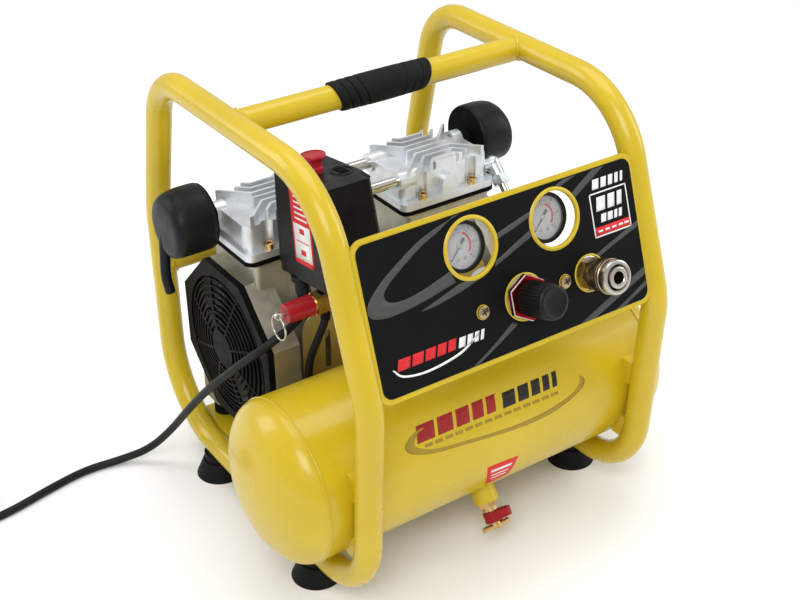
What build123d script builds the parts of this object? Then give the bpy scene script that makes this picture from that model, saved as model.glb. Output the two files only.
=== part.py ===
from build123d import *
from math import cos, pi, radians, sin, tan
import os

# Twin-cylinder oil-free compressor: two bent-tube hoops carry a handle, a tilted
# control panel, a six-litre air tank and, behind it, a pump with its motor between
# two cylinders.  Millimetres, +Z up, X along the tank, -Y towards the user.
# The origin is on the floor under the middle of the object.

# ---- driving dimensions -------------------------------------------------------

hoop_plane = 140.0          # each hoop's mid-plane, left and right of the centre
tube_r = 11.0               # frame tube
tube_wall = 1.5
bar_r = 10.5                # handle bar and rear bar
handle_y = 25.0
handle_z = 377.5
hoop_low = 30.0             # centre line of the hoops' bottom run
hoop_corners = [            # (y, z) of each corner of the centre line, and its bend radius
    ((147.0, 378.5), 49.0),
    ((179.4, 243.0), 90.0),
    ((180.4, hoop_low), 76.0),
    ((-149.5, hoop_low), 60.0),
    ((-160.5, 216.5), 70.0),
    ((-103.0, 378.5), 76.0),
]

rear_bar_y = 179.3
rear_bar_z = 188.0
grip_x = (-48.0, 38.0)
grip_r = 13.2

foot_r = 22.0
foot_height = 20.0
foot_y = (-71.0, 101.0)

tank_r = 70.0
tank_half = 166.0           # half of the straight barrel
tank_dome = 33.5            # depth of each end
tank_wall = 2.5
tank_y = -72.4
tank_z = 111.6
drain_angle = 37.5          # of the drain boss, forward from straight down
port_r = 4.9                # threads in the tank's bosses

panel_top = (0.0, -126.7, 335.6)    # middle of the label's top edge, on its face
panel_lean = 18.5                   # of the face, upwards from facing straight forward
label_w = 257.4
label_h = 116.9
panel_border = 4.0
gauge_x = (-32.0, 48.0)
gauge_down = 28.4
gauge_r = 20.0
gauge_front = -11.5                 # of the gauges' cases, behind the label's face
needle_rest = 225.0         # direction of the needles at no pressure
regulator_at = (8.0, -79.0)         # across and up from the label's top middle
coupler_at = (73.3, -79.7)
coupler_bore = 5.0
coupler_depth = 22.0
bracket_screws_at = ((-32.0, -78.7), (48.0, -79.1))

pump_x = 3.0
pump_y = 80.0
pump_z = 145.0
guard_flats = 150.0         # across the flats of the octagonal fan housings
housing_in = 105.0          # the housings' inner and outer faces, out from the pump's middle
housing_out = 130.0
guard_out = 136.0
guard_apex = 141.0
cylinder_x = 78.0           # each cylinder's axis, out from the pump's middle
shaft_r = 6.0
bearing_r = 14.0
sleeve_r = 28.5
bore_r = 25.2
throw_up = 5.0              # half the pistons' stroke
fan_bore = 69.0
guard_opening = 66.0
block_low = 50.0            # underside of the cylinder block above the shaft
shroud_y = -64.0            # motor shroud in front of the shaft
running_gap = 0.05          # between a turning or sliding piece and its bearing
head_size = (100.0, 75.0)
deck = 91.5                 # top of the cylinder block above the shaft
plate_thick = 2.0
gasket_thick = 4.0
flange_thick = 6.5
fin_top = 136.0
fin_height = 9.0
fin_pitch = 8.5
head_wall_y = 30.0          # front and rear walls of the heads' finned blocks
cross_tube_r = 5.0
cross_tube_y = 23.0
cross_tube_z = 123.0
filter_y = 20.0
filter_z = 122.0
filter_r = 29.0
filter_x = (137.0, 180.0)   # ends of the intake silencers, out from the pump's middle

plate_top = 38.0            # motor plate
plate_y = (-8.0, 152.0)
isolator_top = 54.0
isolator_x = 115.0
isolator_y = 57.0
capacitor_y = 128.0
capacitor_z = 60.0
capacitor_r = 18.0

switch_at = (-83.0, -6.0, 240.0)
switch_pitch = -8.0
cover_shift = 10.0         # cover and base stand right of the middle of the glands
switch_knob_at = (2.0, -3.0)
switch_neck_at = (13.0, -15.0)
gland_at = ((-10.0, 19.0), (-2.0, -3.0))
manifold_x = (-90.0, -22.0)
manifold_y = (-42.0, -20.0)
manifold_z = (219.0, 234.5)
relief_y = -27.0
relief_z = 232.5
riser_at = (-40.0, -30.0)
check_valve_at = (112.0, -66.0)
switch_neck = 6.0
relief_eye = 48.0           # hole for the ring, out from the manifold's end
relief_ring = 10.5
elbow_at = (141.0, 60.0, 255.0)
feed_route = [
    (-30.0, -42.0, 228.0),
    (-30.0, -58.0, 228.0),
    (8.0, -84.0, 238.0),
    (8.0, -102.45, 244.17),
]
delivery_route = [
    (141.0, 50.8, 245.8),
    (141.0, 31.7, 226.7),
    (139.0, 6.0, 213.0),
    (130.0, -32.0, 208.0),
    (117.0, -58.0, 216.0),
    (112.0, -66.0, 207.0),
    (112.0, -66.0, 196.0),
]

cord_d = 7.2
lead_d = 6.8
coil_centre = (-382.0, 194.6)
coil_mean = 41.0            # mean radius of the coil's turns
coil_layers = 3
mains_route = [             # from the gland to the coil
    (-93.0, 10.59, 221.51),
    (-93.0, 9.5, 213.8),
    (-98.5, 7.0, 202.5),
    (-110.5, 3.5, 196.5),
    (-125.5, -1.0, 194.5),
    (-138.5, 2.0, 186.5),
    (-148.0, 16.5, 171.0),
    (-154.5, 39.0, 147.5),
    (-160.0, 64.0, 122.5),
    (-165.0, 98.0, 84.5),
    (-172.0, 129.0, 44.0),
    (-187.0, 151.5, 14.0),
    (-212.0, 165.0, 3.7),
    (-246.0, 169.5, 3.7),
    (-284.0, 162.5, 3.7),
    (-322.0, 152.8, 3.7),
    (-352.0, 150.0, 3.7),
    (-382.0, 150.0, 3.7),
]
lead_route = [              # from the second gland into the motor shroud
    (-85.0, -11.2, 224.57),
    (-85.0, -13.42, 208.73),
    (-92.0, -10.0, 188.0),
    (-98.5, -5.0, 167.0),
    (-100.0, -2.0, 146.5),
    (-94.0, 0.5, 129.0),
    (-85.5, 5.5, 119.0),
    (-81.0, 18.0, 116.5),
]

BASE = (Align.CENTER, Align.CENTER, Align.MIN)
PANEL = Plane(
    origin=panel_top,
    x_dir=(1, 0, 0),
    z_dir=(0, -cos(radians(panel_lean)), sin(radians(panel_lean))),
)
OUTWARD = Plane(origin=(0, 0, 0), x_dir=(0, 1, 0), z_dir=(1, 0, 0))
DRAIN = Plane(
    origin=(
        0,
        tank_y - tank_r * sin(radians(drain_angle)),
        tank_z - tank_r * cos(radians(drain_angle)),
    ),
    x_dir=(1, 0, 0),
    z_dir=(0, -sin(radians(drain_angle)), -cos(radians(drain_angle))),
)
SWITCH = Plane(Pos(*switch_at) * Rot(switch_pitch, 0, 0))
RELIEF = Plane(origin=(manifold_x[0], relief_y, relief_z), x_dir=(0, 1, 0), z_dir=(-1, 0, 0))
ELBOW = Plane(origin=elbow_at, x_dir=(1, 0, 0), z_dir=(0, -sin(pi / 4), -sin(pi / 4)))


# ---- helpers --------------------------------------------------------------------

def along_x(y, z):
    """Plane across X, with its origin on the line at this y and z."""
    return Plane(origin=(0, y, z), x_dir=(0, 1, 0), z_dir=(1, 0, 0))


def disc(plane, radius, low, high, at=(0, 0)):
    """Cylinder between two heights above a plane."""
    return plane * Pos(at[0], at[1], low) * Cylinder(radius, high - low, align=BASE)


def ring(plane, outer, inner, low, high, at=(0, 0)):
    """Tube between two heights above a plane."""
    return disc(plane, outer, low, high, at) - disc(plane, inner, low - 1, high + 1, at)


def block(x, y, z):
    """Box from three (low, high) pairs."""
    size = (x[1] - x[0], y[1] - y[0], z[1] - z[0])
    middle = ((x[0] + x[1]) / 2, (y[0] + y[1]) / 2, (z[0] + z[1]) / 2)
    return Pos(*middle) * Box(*size)


def slab(width, depth, corner, low, high):
    """Plate with rounded corners between two heights."""
    return Pos(0, 0, low) * extrude(RectangleRounded(width, depth, corner), high - low)


def hexagon(plane, flats, low, high, at=(0, 0)):
    """Hexagonal bar between two heights above a plane."""
    outline = RegularPolygon(flats / 2, 6, major_radius=False)
    return plane * Pos(at[0], at[1], low) * extrude(outline, high - low)


def octagon(flats, low, high):
    """Octagonal bar along X, with flats at the top and the bottom."""
    corner_r = flats / 2 / cos(pi / 8)
    angles = [pi / 8 + turn * pi / 4 for turn in range(8)]
    outline = Polygon(*[(corner_r * cos(a), corner_r * sin(a)) for a in angles], align=None)
    return OUTWARD * Pos(0, 0, low) * extrude(outline, high - low)


def round_bar(path, radius):
    """Round section swept along a path."""
    start = Plane(origin=path @ 0, z_dir=path % 0)
    return sweep(start * Circle(radius), path=path)


def on_side(side, shape):
    """Place a pump piece modelled for the +X side on that side, or mirrored on the other."""
    turned = shape if side > 0 else mirror(shape, about=Plane.YZ)
    return Pos(pump_x, pump_y, pump_z) * turned


def both_sides(shape):
    return [on_side(-1, shape), on_side(1, shape)]


def arc_radii(points, share=0.45):
    """Bend radius at each inner point, as large as the two runs beside it allow."""
    radii = []
    for before, here, after in zip(points, points[1:], points[2:]):
        into = Vector(*here) - Vector(*before)
        out = Vector(*after) - Vector(*here)
        half_turn = radians(into.get_angle(out)) / 2
        radii.append(share * min(into.length, out.length) / tan(half_turn))
    return radii


def save(node, *shapes):
    """Write one node: every solid of the given shapes."""
    solids = [solid for shape in shapes for solid in shape.solids()]
    body = solids[0] if len(solids) == 1 else Compound(children=solids)
    export_step(body, f"parts/{node}.step")


# ---- frame ----------------------------------------------------------------------

def hoop_bar(side, radius):
    """Closed hoop: a front half and a rear half, joined on the top and bottom runs."""
    x = side * hoop_plane
    top = (x, handle_y, (hoop_corners[0][0][1] + hoop_corners[-1][0][1]) / 2)
    bottom = (x, handle_y, hoop_low)
    halves = []
    for corners in (hoop_corners[:3], hoop_corners[:2:-1]):
        points = [top] + [(x, *corner) for corner, _ in corners] + [bottom]
        path = FilletPolyline(*points, radius=[bend for _, bend in corners])
        halves.append(round_bar(path, radius))
    return halves[0] + halves[1]


def tank_end(radius, dome):
    """Half ellipsoid beyond the barrel's right edge."""
    profile = make_face([
        EllipticalCenterArc((tank_half, 0), dome, radius, 0, arc_size=90),
        Line((tank_half, radius), (tank_half, 0)),
        Line((tank_half, 0), (tank_half + dome, 0)),
    ])
    return Pos(0, tank_y, tank_z) * revolve(profile, axis=Axis.X)


left_hoop = hoop_bar(-1, tube_r)
right_hoop = hoop_bar(1, tube_r)
both_hoops = left_hoop + right_hoop
tank_skin = disc(along_x(tank_y, tank_z), tank_r, -tank_half, tank_half)
tank_skin = tank_skin + tank_end(tank_r, tank_dome) + mirror(tank_end(tank_r, tank_dome), about=Plane.YZ)


def make_frame():
    save("left_hoop", left_hoop - hoop_bar(-1, tube_r - tube_wall))
    save("right_hoop", right_hoop - hoop_bar(1, tube_r - tube_wall))
    handle = along_x(handle_y, handle_z)
    rear = along_x(rear_bar_y, rear_bar_z)
    bars = [
        ring(handle, bar_r, bar_r - tube_wall, -hoop_plane, hoop_plane) - both_hoops,
        ring(rear, bar_r, bar_r - tube_wall, -hoop_plane, hoop_plane) - both_hoops,
    ]
    save("cross_bars", *bars)

    grip_middle = (grip_x[0] + grip_x[1]) / 2
    grip = ring(handle, grip_r, bar_r, *grip_x)
    for end in (-1, 1):
        for step in range(3):
            groove_x = grip_middle + end * (39 - 5.5 * step)
            grip -= ring(handle, grip_r + 1, grip_r - 1.1, groove_x - 1, groove_x + 1)
    save("hand_grip", grip)


def make_motor_plate():
    """Plate between the bottom runs, with turned-down lips and the capacitor's clip."""
    plate = block((-131.5, 131.5), plate_y, (plate_top - 3, plate_top))
    for lip_y in (plate_y[0], plate_y[1] - 3):
        plate += block((-124, 124), (lip_y, lip_y + 3), (plate_top - 12, plate_top))
    for at in isolator_places():
        plate -= disc(Plane.XY, 3.0, 20, 50, at)
    clip_x = (-8, 12)
    axis = along_x(capacitor_y, capacitor_z)
    clip = ring(axis, capacitor_r + 1.5, capacitor_r, *clip_x)
    clip += block(clip_x, (capacitor_y - 28, capacitor_y + 28), (plate_top, plate_top + 1.5))
    for row in (-1, 1):
        face = capacitor_y + row * (capacitor_r + 0.75)
        clip += block(clip_x, (face - 0.75, face + 0.75), (plate_top, capacitor_z))
    save("motor_plate", plate - both_hoops, clip - disc(axis, capacitor_r, -30, 30))


def make_feet():
    """Four cone feet under the bottom runs."""
    pads = []
    for at in foot_places():
        pad = at * Cone(foot_r, 15.0, foot_height - 4, align=BASE)
        pad += disc(at, 13.5, foot_height - 4, foot_height + 4)
        pads.append(pad - disc(at, 9.0, -1, 4) - disc(at, 3.0, 0, 40) - both_hoops)
    save("foot_pads", *pads)


def foot_places():
    return [Plane(origin=(side * hoop_plane, y, 0)) for side in (-1, 1) for y in foot_y]


def isolator_places():
    return [
        (pump_x + side * isolator_x, pump_y + row * isolator_y)
        for side in (-1, 1)
        for row in (-1, 1)
    ]


def make_tank():
    """Rolled barrel with two pressed ends."""
    barrel = ring(along_x(tank_y, tank_z), tank_r, tank_r - tank_wall, -tank_half, tank_half)
    barrel -= disc(DRAIN, port_r, -6, 10)
    barrel -= disc(Plane.XY, port_r, 150, 200, riser_at)
    barrel -= disc(Plane.XY, port_r, 150, 200, check_valve_at)
    end = tank_end(tank_r, tank_dome) - tank_end(tank_r - tank_wall, tank_dome - tank_wall)
    save("tank_shell", barrel, end, mirror(end, about=Plane.YZ))


def make_welded_fittings():
    """Threaded bosses on the tank, and the tabs that hold the tank and the panel."""
    drain = ring(DRAIN, 11, port_r, -4, 13)
    riser = ring(Plane.XY, 11, port_r, 155, 176, riser_at)
    check = ring(Plane.XY, 11, port_r, 170, 187, check_valve_at)
    pieces = [boss - tank_skin for boss in (drain, riser, check)]
    for side in (-1, 1):
        x = side * hoop_plane
        tabs = [block((x - 5, x + 5), (-150, -128), (z - 11, z + 11)) for z in (78, 136)]
        tabs.append(block((x - 5, x + 5), (-82, -58), (34, 48)))
        for down in (6, label_h - 6):
            tabs.append(PANEL * Pos(side * 128, -down, -4.5) * Box(18, 12, 4))
        pieces += [tab - both_hoops - tank_skin for tab in tabs]
    save("welded_fittings", *pieces)


def make_drain_valve():
    """Brass cock in the drain boss, with a red thumb ring that turns on its stem."""
    body = disc(DRAIN, port_r, -2, 20) + hexagon(DRAIN, 15, 13, 17.5) + disc(DRAIN, 6.5, 17.5, 21)
    body += disc(DRAIN, 3.0, 20, 37) + disc(DRAIN, 4.6, 31.3, 37)
    cross = Plane(origin=DRAIN.from_local_coords((0, 0, 34.5)), x_dir=DRAIN.z_dir, z_dir=(1, 0, 0))
    save("drain_valve_body", body + disc(cross, 2.4, -13, 13))
    handle = disc(DRAIN, 7.5, 22, 31) + disc(DRAIN, 9.0, 23, 30, (9, 0))
    handle -= disc(DRAIN, 4.6, 22, 31, (12.5, 0)) + disc(DRAIN, 3.0 + running_gap, 20, 40)
    save("drain_valve_handle", handle)


# ---- control panel ------------------------------------------------------------------

def panel_sheet(width, height, corner, low, high):
    """Rounded sheet in the panel's plane, centred on the label."""
    outline = RectangleRounded(width, height, corner)
    return PANEL * Pos(0, -label_h / 2, low) * extrude(outline, high - low)


def gauge_places():
    return [(x, -gauge_down) for x in gauge_x]


def make_panel():
    plate = panel_sheet(label_w + 2 * panel_border, label_h + 2 * panel_border, 11, -2.5, -0.5)
    label = panel_sheet(label_w, label_h, 8, -0.5, 0)
    holes = [(at, 21.6, 24.5) for at in gauge_places()]
    holes += [(regulator_at, 17.0, 18.0), (coupler_at, 13.6, 14.7)]
    holes += [(at, 2.0, 5.6) for at in bracket_screws_at]
    for at, plate_hole, label_hole in holes:
        plate -= disc(PANEL, plate_hole, -5, 1, at)
        label -= disc(PANEL, label_hole, -5, 1, at)
    save("control_panel", plate - both_hoops)
    save("panel_label", label)
    screws = [disc(PANEL, 5.0, -0.5, 1.6, at) + disc(PANEL, 2.0, -30, 0, at) for at in bracket_screws_at]
    save("panel_screws", *screws)


def make_gauges():
    """Two pressure gauges behind the panel's round windows."""
    inner = gauge_r - 1.4
    front = gauge_front
    cases = []
    dials = []
    lenses = []
    for at in gauge_places():
        case = disc(PANEL, gauge_r, -32, front, at) - disc(PANEL, inner, -29, front + 1, at)
        case += ring(PANEL, gauge_r, inner - 1.6, front, front + 1.2, at)
        cases.append(case)
        cases.append(ring(PANEL, 14, 12, -26, -23, at))
        dials.append(ring(PANEL, inner, 1.1, front - 5.1, front - 4.3, at))
        lenses.append(disc(PANEL, inner, front - 1.6, front - 0.6, at))
    save("gauge_cases", *cases)
    save("gauge_dials", *dials)
    save("gauge_lenses", *lenses)
    for name, at in zip(("left", "right"), gauge_places()):
        needle = disc(PANEL, 2.2, front - 3.7, front - 2.4, at)
        needle += disc(PANEL, 1.0, front - 7.5, front - 3.5, at)
        turned = Pos(*at) * Rot(0, 0, needle_rest) * Pos(4.5, 0, front - 3.1)
        needle += PANEL * turned * Box(17, 0.9, 0.5)
        save(f"gauge_needle_{name}", needle)


def make_outlet_blocks():
    """Blocks behind the panel that feed the regulator, the gauges and the coupler."""
    bar = PANEL * Pos(33, regulator_at[1], -34) * Box(112, 18, 20)
    bar += PANEL * Pos(-30, regulator_at[1], -39.5) * Box(18, 18, 9)
    for x in gauge_x:
        bar += PANEL * Pos(x, -54, -38) * Box(14, 50, 12)
    bar -= disc(PANEL, 17.5, -46, -20, regulator_at)
    bar -= disc(PANEL, 6.0, -46, -20, coupler_at)
    for at in gauge_places():
        bar -= disc(PANEL, gauge_r, -32, -20, at)
    for at in bracket_screws_at:
        bar -= disc(PANEL, 2.0, -31, -20, at)
    save("outlet_blocks", bar)


def make_regulator():
    """Regulator through the panel, with its spring inside and its knob in front."""
    body = disc(PANEL, 17.5, -52, -18, regulator_at) + disc(PANEL, 15.5, -18, 2.0, regulator_at)
    body += disc(PANEL, 7.0, 2.0, 12.0, regulator_at)
    body -= disc(PANEL, 12.0, -46, -10, regulator_at)
    save("regulator_body", body)
    save("regulator_nut", hexagon(PANEL, 33, 2.0, 6.5, regulator_at) - disc(PANEL, 7.0, 1, 8, regulator_at))
    spring = ring(PANEL, 8.6, 7.6, -40, -18, regulator_at)
    for turn in range(5):
        spring += ring(PANEL, 9.0, 7.2, -40 + 5 * turn, -38 + 5 * turn, regulator_at)
    diaphragm = disc(PANEL, 12.0, -43, -41, regulator_at)
    save("regulator_spring", spring, diaphragm)

    knob = disc(PANEL, 14.2, 8.0, 37.0, regulator_at) - disc(PANEL, 7.4, 7, 13, regulator_at)
    knob -= ring(PANEL, 12.0, 10.6, 36.2, 38, regulator_at)
    ribs = 24
    for turn in range(ribs):
        angle = 2 * pi * turn / ribs
        at = (regulator_at[0] + 14.9 * cos(angle), regulator_at[1] + 14.9 * sin(angle))
        knob -= disc(PANEL, 1.3, 11, 38, at)
    save("regulator_knob", knob)


def make_coupler():
    """Quick coupler: a fixed socket, and a sprung sleeve that pulls back to let go."""
    body = hexagon(PANEL, 22, -6, 7, coupler_at) + disc(PANEL, 6.0, -40, -6, coupler_at)
    body += disc(PANEL, 8.6, 7, 34, coupler_at)
    body -= disc(PANEL, coupler_bore, 34 - coupler_depth, 35, coupler_at)
    body -= disc(PANEL, 2.5, -41, 20, coupler_at)
    save("coupler_body", body)
    sleeve = ring(PANEL, 13.0, 8.7, 12, 33, coupler_at)
    sleeve += ring(PANEL, 14.0, 12.0, 12.5, 14.5, coupler_at)
    sleeve += ring(PANEL, 14.2, 12.0, 26, 32, coupler_at)
    sleeve -= ring(PANEL, 15, 11.6, 17, 19, coupler_at)
    save("coupler_sleeve", sleeve)


# ---- pressure switch and manifold ---------------------------------------------------

def switch_shell(low, high, bottom, top, corner):
    """Tapering box of the switch cover between two heights."""
    lower = SWITCH * Pos(cover_shift, 0, low) * RectangleRounded(*bottom, corner)
    upper = SWITCH * Pos(cover_shift, 1.5, high) * RectangleRounded(*top, corner)
    return loft([lower, upper])


def make_switch():
    base = SWITCH * Pos(cover_shift, 0, 0) * slab(53, 84, 4, 0, 8)
    for row in (-1, 1):
        base += ring(SWITCH, 2.6, 1.2, 8, 30, (cover_shift, row * 30))
    base += disc(SWITCH, 8, -switch_neck, 0, switch_neck_at)
    save("switch_base", base)

    cover = switch_shell(8, 86, (54, 86), (48, 75), 5) + switch_shell(86, 90, (48, 75), (41, 66), 5)
    cover -= switch_shell(8, 82, (50, 82), (44, 71), 4)
    cover -= disc(SWITCH, 6.8, 75, 95, switch_knob_at)
    save("switch_cover", cover)

    knob = disc(SWITCH, 6.4, 58, 103, switch_knob_at) + disc(SWITCH, 7.0, 92.5, 95, switch_knob_at)
    knob += SWITCH * Pos(*switch_knob_at, 103) * Cone(6.4, 10.4, 4, align=BASE)
    knob += disc(SWITCH, 10.4, 107, 109, switch_knob_at) + disc(SWITCH, 9.6, 109, 110.5, switch_knob_at)
    save("switch_knob", knob)

    contacts = SWITCH * Pos(0, 12, 20) * Box(18, 22, 24)
    spring_at = (8, -18)
    spring = ring(SWITCH, 7, 5.5, 8, 44, spring_at)
    for turn in range(7):
        spring += ring(SWITCH, 7.8, 6.6, 10 + 5 * turn, 12 + 5 * turn, spring_at)
    save("switch_works", contacts, spring)

    glands = [disc(SWITCH, 8.5, -5, 0, at) + disc(SWITCH, 6.5, -16, -5, at) for at in gland_at]
    save("cord_glands", *glands)


def make_manifold():
    """Block on the tank's riser that carries the switch, the relief valve and the feed pipe."""
    body = block(manifold_x, manifold_y, manifold_z) + disc(RELIEF, 9, -12, 0)
    body += SWITCH * Pos(*switch_neck_at, -switch_neck - 8) * Cylinder(8, 8, align=BASE)
    body -= block((-100, 0), (-50, 0), (manifold_z[0] - 20, manifold_z[0]))
    body -= disc(RELIEF, 1.6, -30, 1)
    save("manifold", body)


def make_relief_valve():
    """Safety valve on the manifold's end; its ring pulls the stem out."""
    body = disc(RELIEF, 8.5, 0, 6) + hexagon(RELIEF, 17, 6, 16) + disc(RELIEF, 7.0, 16, 18)
    body -= disc(RELIEF, 3.0, 3, 19)
    save("relief_valve_body", body)
    cap = RELIEF * Pos(0, 0, 18) * Cone(9.0, 8.2, 24, align=BASE)
    cap -= disc(RELIEF, 4.5, 17, 38) + disc(RELIEF, 1.7, 30, 45)
    save("relief_valve_cap", cap)
    eye = RELIEF.from_local_coords((0, 0, relief_eye))
    cross = Plane(origin=eye, x_dir=(1, 0, 0), z_dir=(0, 1, 0))
    stem = disc(RELIEF, 1.6, 4, relief_eye - 2) + disc(RELIEF, 2.9, 4, 8)
    stem += disc(cross, 3.2, -1.2, 1.2)
    save("relief_valve_stem", stem - disc(cross, 1.9, -2, 2))
    hanging = Plane(origin=(eye.X, eye.Y, eye.Z - relief_ring), x_dir=(0, 1, 0), z_dir=(1, 0, 0))
    save("relief_valve_ring", hanging * Torus(relief_ring, 0.8))


def make_pipes():
    """Feed from the manifold to the regulator, delivery from the right head to the tank."""
    pieces = []
    for points, radius in ((feed_route, 4.5), (delivery_route, 3.9)):
        radii = arc_radii(points)
        print("pipe radii", [round(bend, 1) for bend in radii])
        pieces.append(round_bar(FilletPolyline(*points, radius=radii), radius))
    save("air_pipes", *pieces)

    elbow = disc(along_x(elbow_at[1], elbow_at[2]), 6, elbow_at[0] - 13, elbow_at[0])
    elbow += Pos(*elbow_at) * Sphere(7.0)
    elbow += disc(ELBOW, 6.5, 0, 14) + hexagon(ELBOW, 15, 14, 22)
    elbow -= disc(ELBOW, 3.9, 12, 30)
    riser = disc(Plane.XY, 8, 176, manifold_z[0], riser_at) + disc(Plane.XY, port_r, 160, 176, riser_at)
    check = hexagon(Plane.XY, 17, 187, 196, check_valve_at)
    check += disc(Plane.XY, port_r, 168, 187, check_valve_at)
    save("pipe_fittings", elbow, riser, check)


# ---- pump -------------------------------------------------------------------------

def bolt_places():
    return [(cylinder_x + dx, dy) for dx in (-27, 27) for dy in (-32.5, 32.5)]


def make_crankcases():
    """Cast housing: crank chamber, cylinder block on top and a fan shroud outside."""
    case = octagon(guard_flats, housing_in, housing_out)
    case += disc(OUTWARD, 58, 54, housing_in)
    case += Pos(cylinder_x, 0, 0) * slab(88, 74, 5, block_low, deck)
    for row in (-1, 1):
        leg_y = (row * isolator_y - 13, row * isolator_y + 13)
        case += block((housing_in - 3, housing_out - 2), leg_y, (isolator_top - pump_z, -30))
        post = Plane(origin=(75, 0, row * 25), x_dir=(1, 0, 0), z_dir=(0, -1, 0))
        case += disc(post, 5, 45, -shroud_y)
        stud = (isolator_x, row * isolator_y)
        case -= disc(Plane.XY, 3.0, isolator_top - pump_z - 1, isolator_top - pump_z + 8, stud)
    case -= disc(OUTWARD, fan_bore, housing_in + 5, housing_out + 1)
    case -= disc(OUTWARD, 44, 62, housing_in - 6)
    case -= disc(Plane.XY, sleeve_r, 20, deck + 1, (cylinder_x, 0))
    case -= disc(OUTWARD, bearing_r, 50, housing_in + 6)
    for at in bolt_places():
        case -= disc(Plane.XY, 2.5, deck - 24, deck + 1, at)
    save("crankcases", *both_sides(case))

    sleeve = ring(Plane.XY, sleeve_r, bore_r, block_low - 4, deck, (cylinder_x, 0))
    save("cylinder_sleeves", *both_sides(sleeve))
    bearings = []
    for low in (54, housing_in - 6):
        bearings += both_sides(ring(OUTWARD, bearing_r, shaft_r + running_gap, low, low + 8))
    save("shaft_bearings", *bearings)


def fins(root):
    """Upright fins: straight along X in the middle, splayed at 45 degrees at both ends."""
    thick = 2.4
    straight_half = 22.0
    mitre = tan(radians(22.5))
    straight = (cylinder_x - straight_half, cylinder_x + straight_half)
    ribs = [block(straight, (-thick / 2, thick / 2), (root - 1, fin_top))]
    for number in (1, 2, 3):
        y = fin_pitch * number
        reach = straight_half - mitre * y
        for face in (-1, 1):
            path = Polyline(
                (cylinder_x - reach - 60, face * (y + 60)),
                (cylinder_x - reach, face * y),
                (cylinder_x + reach, face * y),
                (cylinder_x + reach + 60, face * (y + 60)),
            )
            ribs.append(Pos(0, 0, root - 1) * extrude(trace(path, line_width=thick), fin_top - root + 1))
    together = ribs[0].fuse(*ribs[1:])
    width = (cylinder_x - 47, cylinder_x + 47)
    return together & block(width, (-head_wall_y, head_wall_y), (root - 1, fin_top))


def make_heads():
    """Finned head, gasket and valve plate on each cylinder, two tubes between the heads."""
    gasket_low = deck + plate_thick
    gasket_top = gasket_low + gasket_thick
    flange_top = gasket_top + flange_thick
    block_top = fin_top - fin_height
    boss_z = flange_top + 9
    middle = Pos(cylinder_x, 0, 0)
    plate = middle * slab(head_size[0] - 4, head_size[1] - 2, 6, deck, gasket_low)
    gasket = middle * slab(head_size[0] + 1, head_size[1] + 1, 8, gasket_low, gasket_top)
    gasket -= middle * slab(78, 46, 5, gasket_low - 1, gasket_top + 1)
    head = middle * slab(*head_size, 7, gasket_top, flange_top)
    head += middle * slab(94, 2 * head_wall_y, 8, flange_top - 1, block_top)
    head += disc(Plane.XZ, 8.5, 20, 37, (cylinder_x, boss_z))
    head += block((cylinder_x - 8.5, cylinder_x + 8.5), (-37, -20), (flange_top - 1, boss_z))
    for wall in ((-head_wall_y, 3.2 - head_wall_y), (head_wall_y - 3.2, head_wall_y)):
        head += block((cylinder_x - 11, cylinder_x + 11), wall, (block_top - 1, fin_top - 2.5))
    head += ring(along_x(filter_y, filter_z), 9, 6, 118, 128)
    head += fins(block_top - 1)
    for row in (-1, 1):
        socket = along_x(row * cross_tube_y, cross_tube_z)
        head += disc(socket, 8.5, 29, 50)
        head -= disc(socket, cross_tube_r, 27, 44)
    for side in (-1, 1):
        plate -= disc(Plane.XY, 5, deck - 1, gasket_low + 1, (cylinder_x + side * 11, 0))
        chamber_x = sorted((cylinder_x + side * 3, cylinder_x + side * 36))
        head -= block(chamber_x, (-20, 20), (gasket_top - 1, flange_top + 6))
    for at in bolt_places():
        shank = disc(Plane.XY, 2.5, deck - 24, flange_top + 1, at)
        head -= shank + disc(Plane.XY, 6.5, flange_top, fin_top + 1, at)
        gasket -= shank
        plate -= shank
    save("cylinder_heads", *both_sides(head))
    save("head_gaskets", *both_sides(gasket))
    save("valve_plates", *both_sides(plate))
    tubes = []
    for row in (-1, 1):
        axis = along_x(pump_y + row * cross_tube_y, pump_z + cross_tube_z)
        tubes.append(ring(axis, cross_tube_r, cross_tube_r - 1, pump_x - 44, pump_x + 44))
    save("cross_tubes", *tubes)


def make_bolts():
    """Head bolts, motor tie rods, isolator studs and foot bolts."""
    flange_top = deck + plate_thick + gasket_thick + flange_thick
    pieces = []
    for at in bolt_places():
        bolt = disc(Plane.XY, 2.5, deck - 24, flange_top, at)
        bolt += disc(Plane.XY, 4.3, flange_top, flange_top + 5, at)
        pieces += both_sides(bolt - hexagon(Plane.XY, 4, flange_top + 2, flange_top + 6, at))
    for at in tie_rod_places():
        pieces.append(on_side(1, disc(OUTWARD, 2.5, -54, 54, at)))
    for at in isolator_places():
        stud = disc(Plane.XY, 3, plate_top - 7, isolator_top + 8, at)
        pieces.append(stud + hexagon(Plane.XY, 10, plate_top - 8, plate_top - 3, at))
    for at in foot_places():
        pieces.append(disc(at, 3.0, 4, hoop_low) + hexagon(at, 10, 0.5, 4.0) - both_hoops)
    save("bolts", *pieces)


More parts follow.
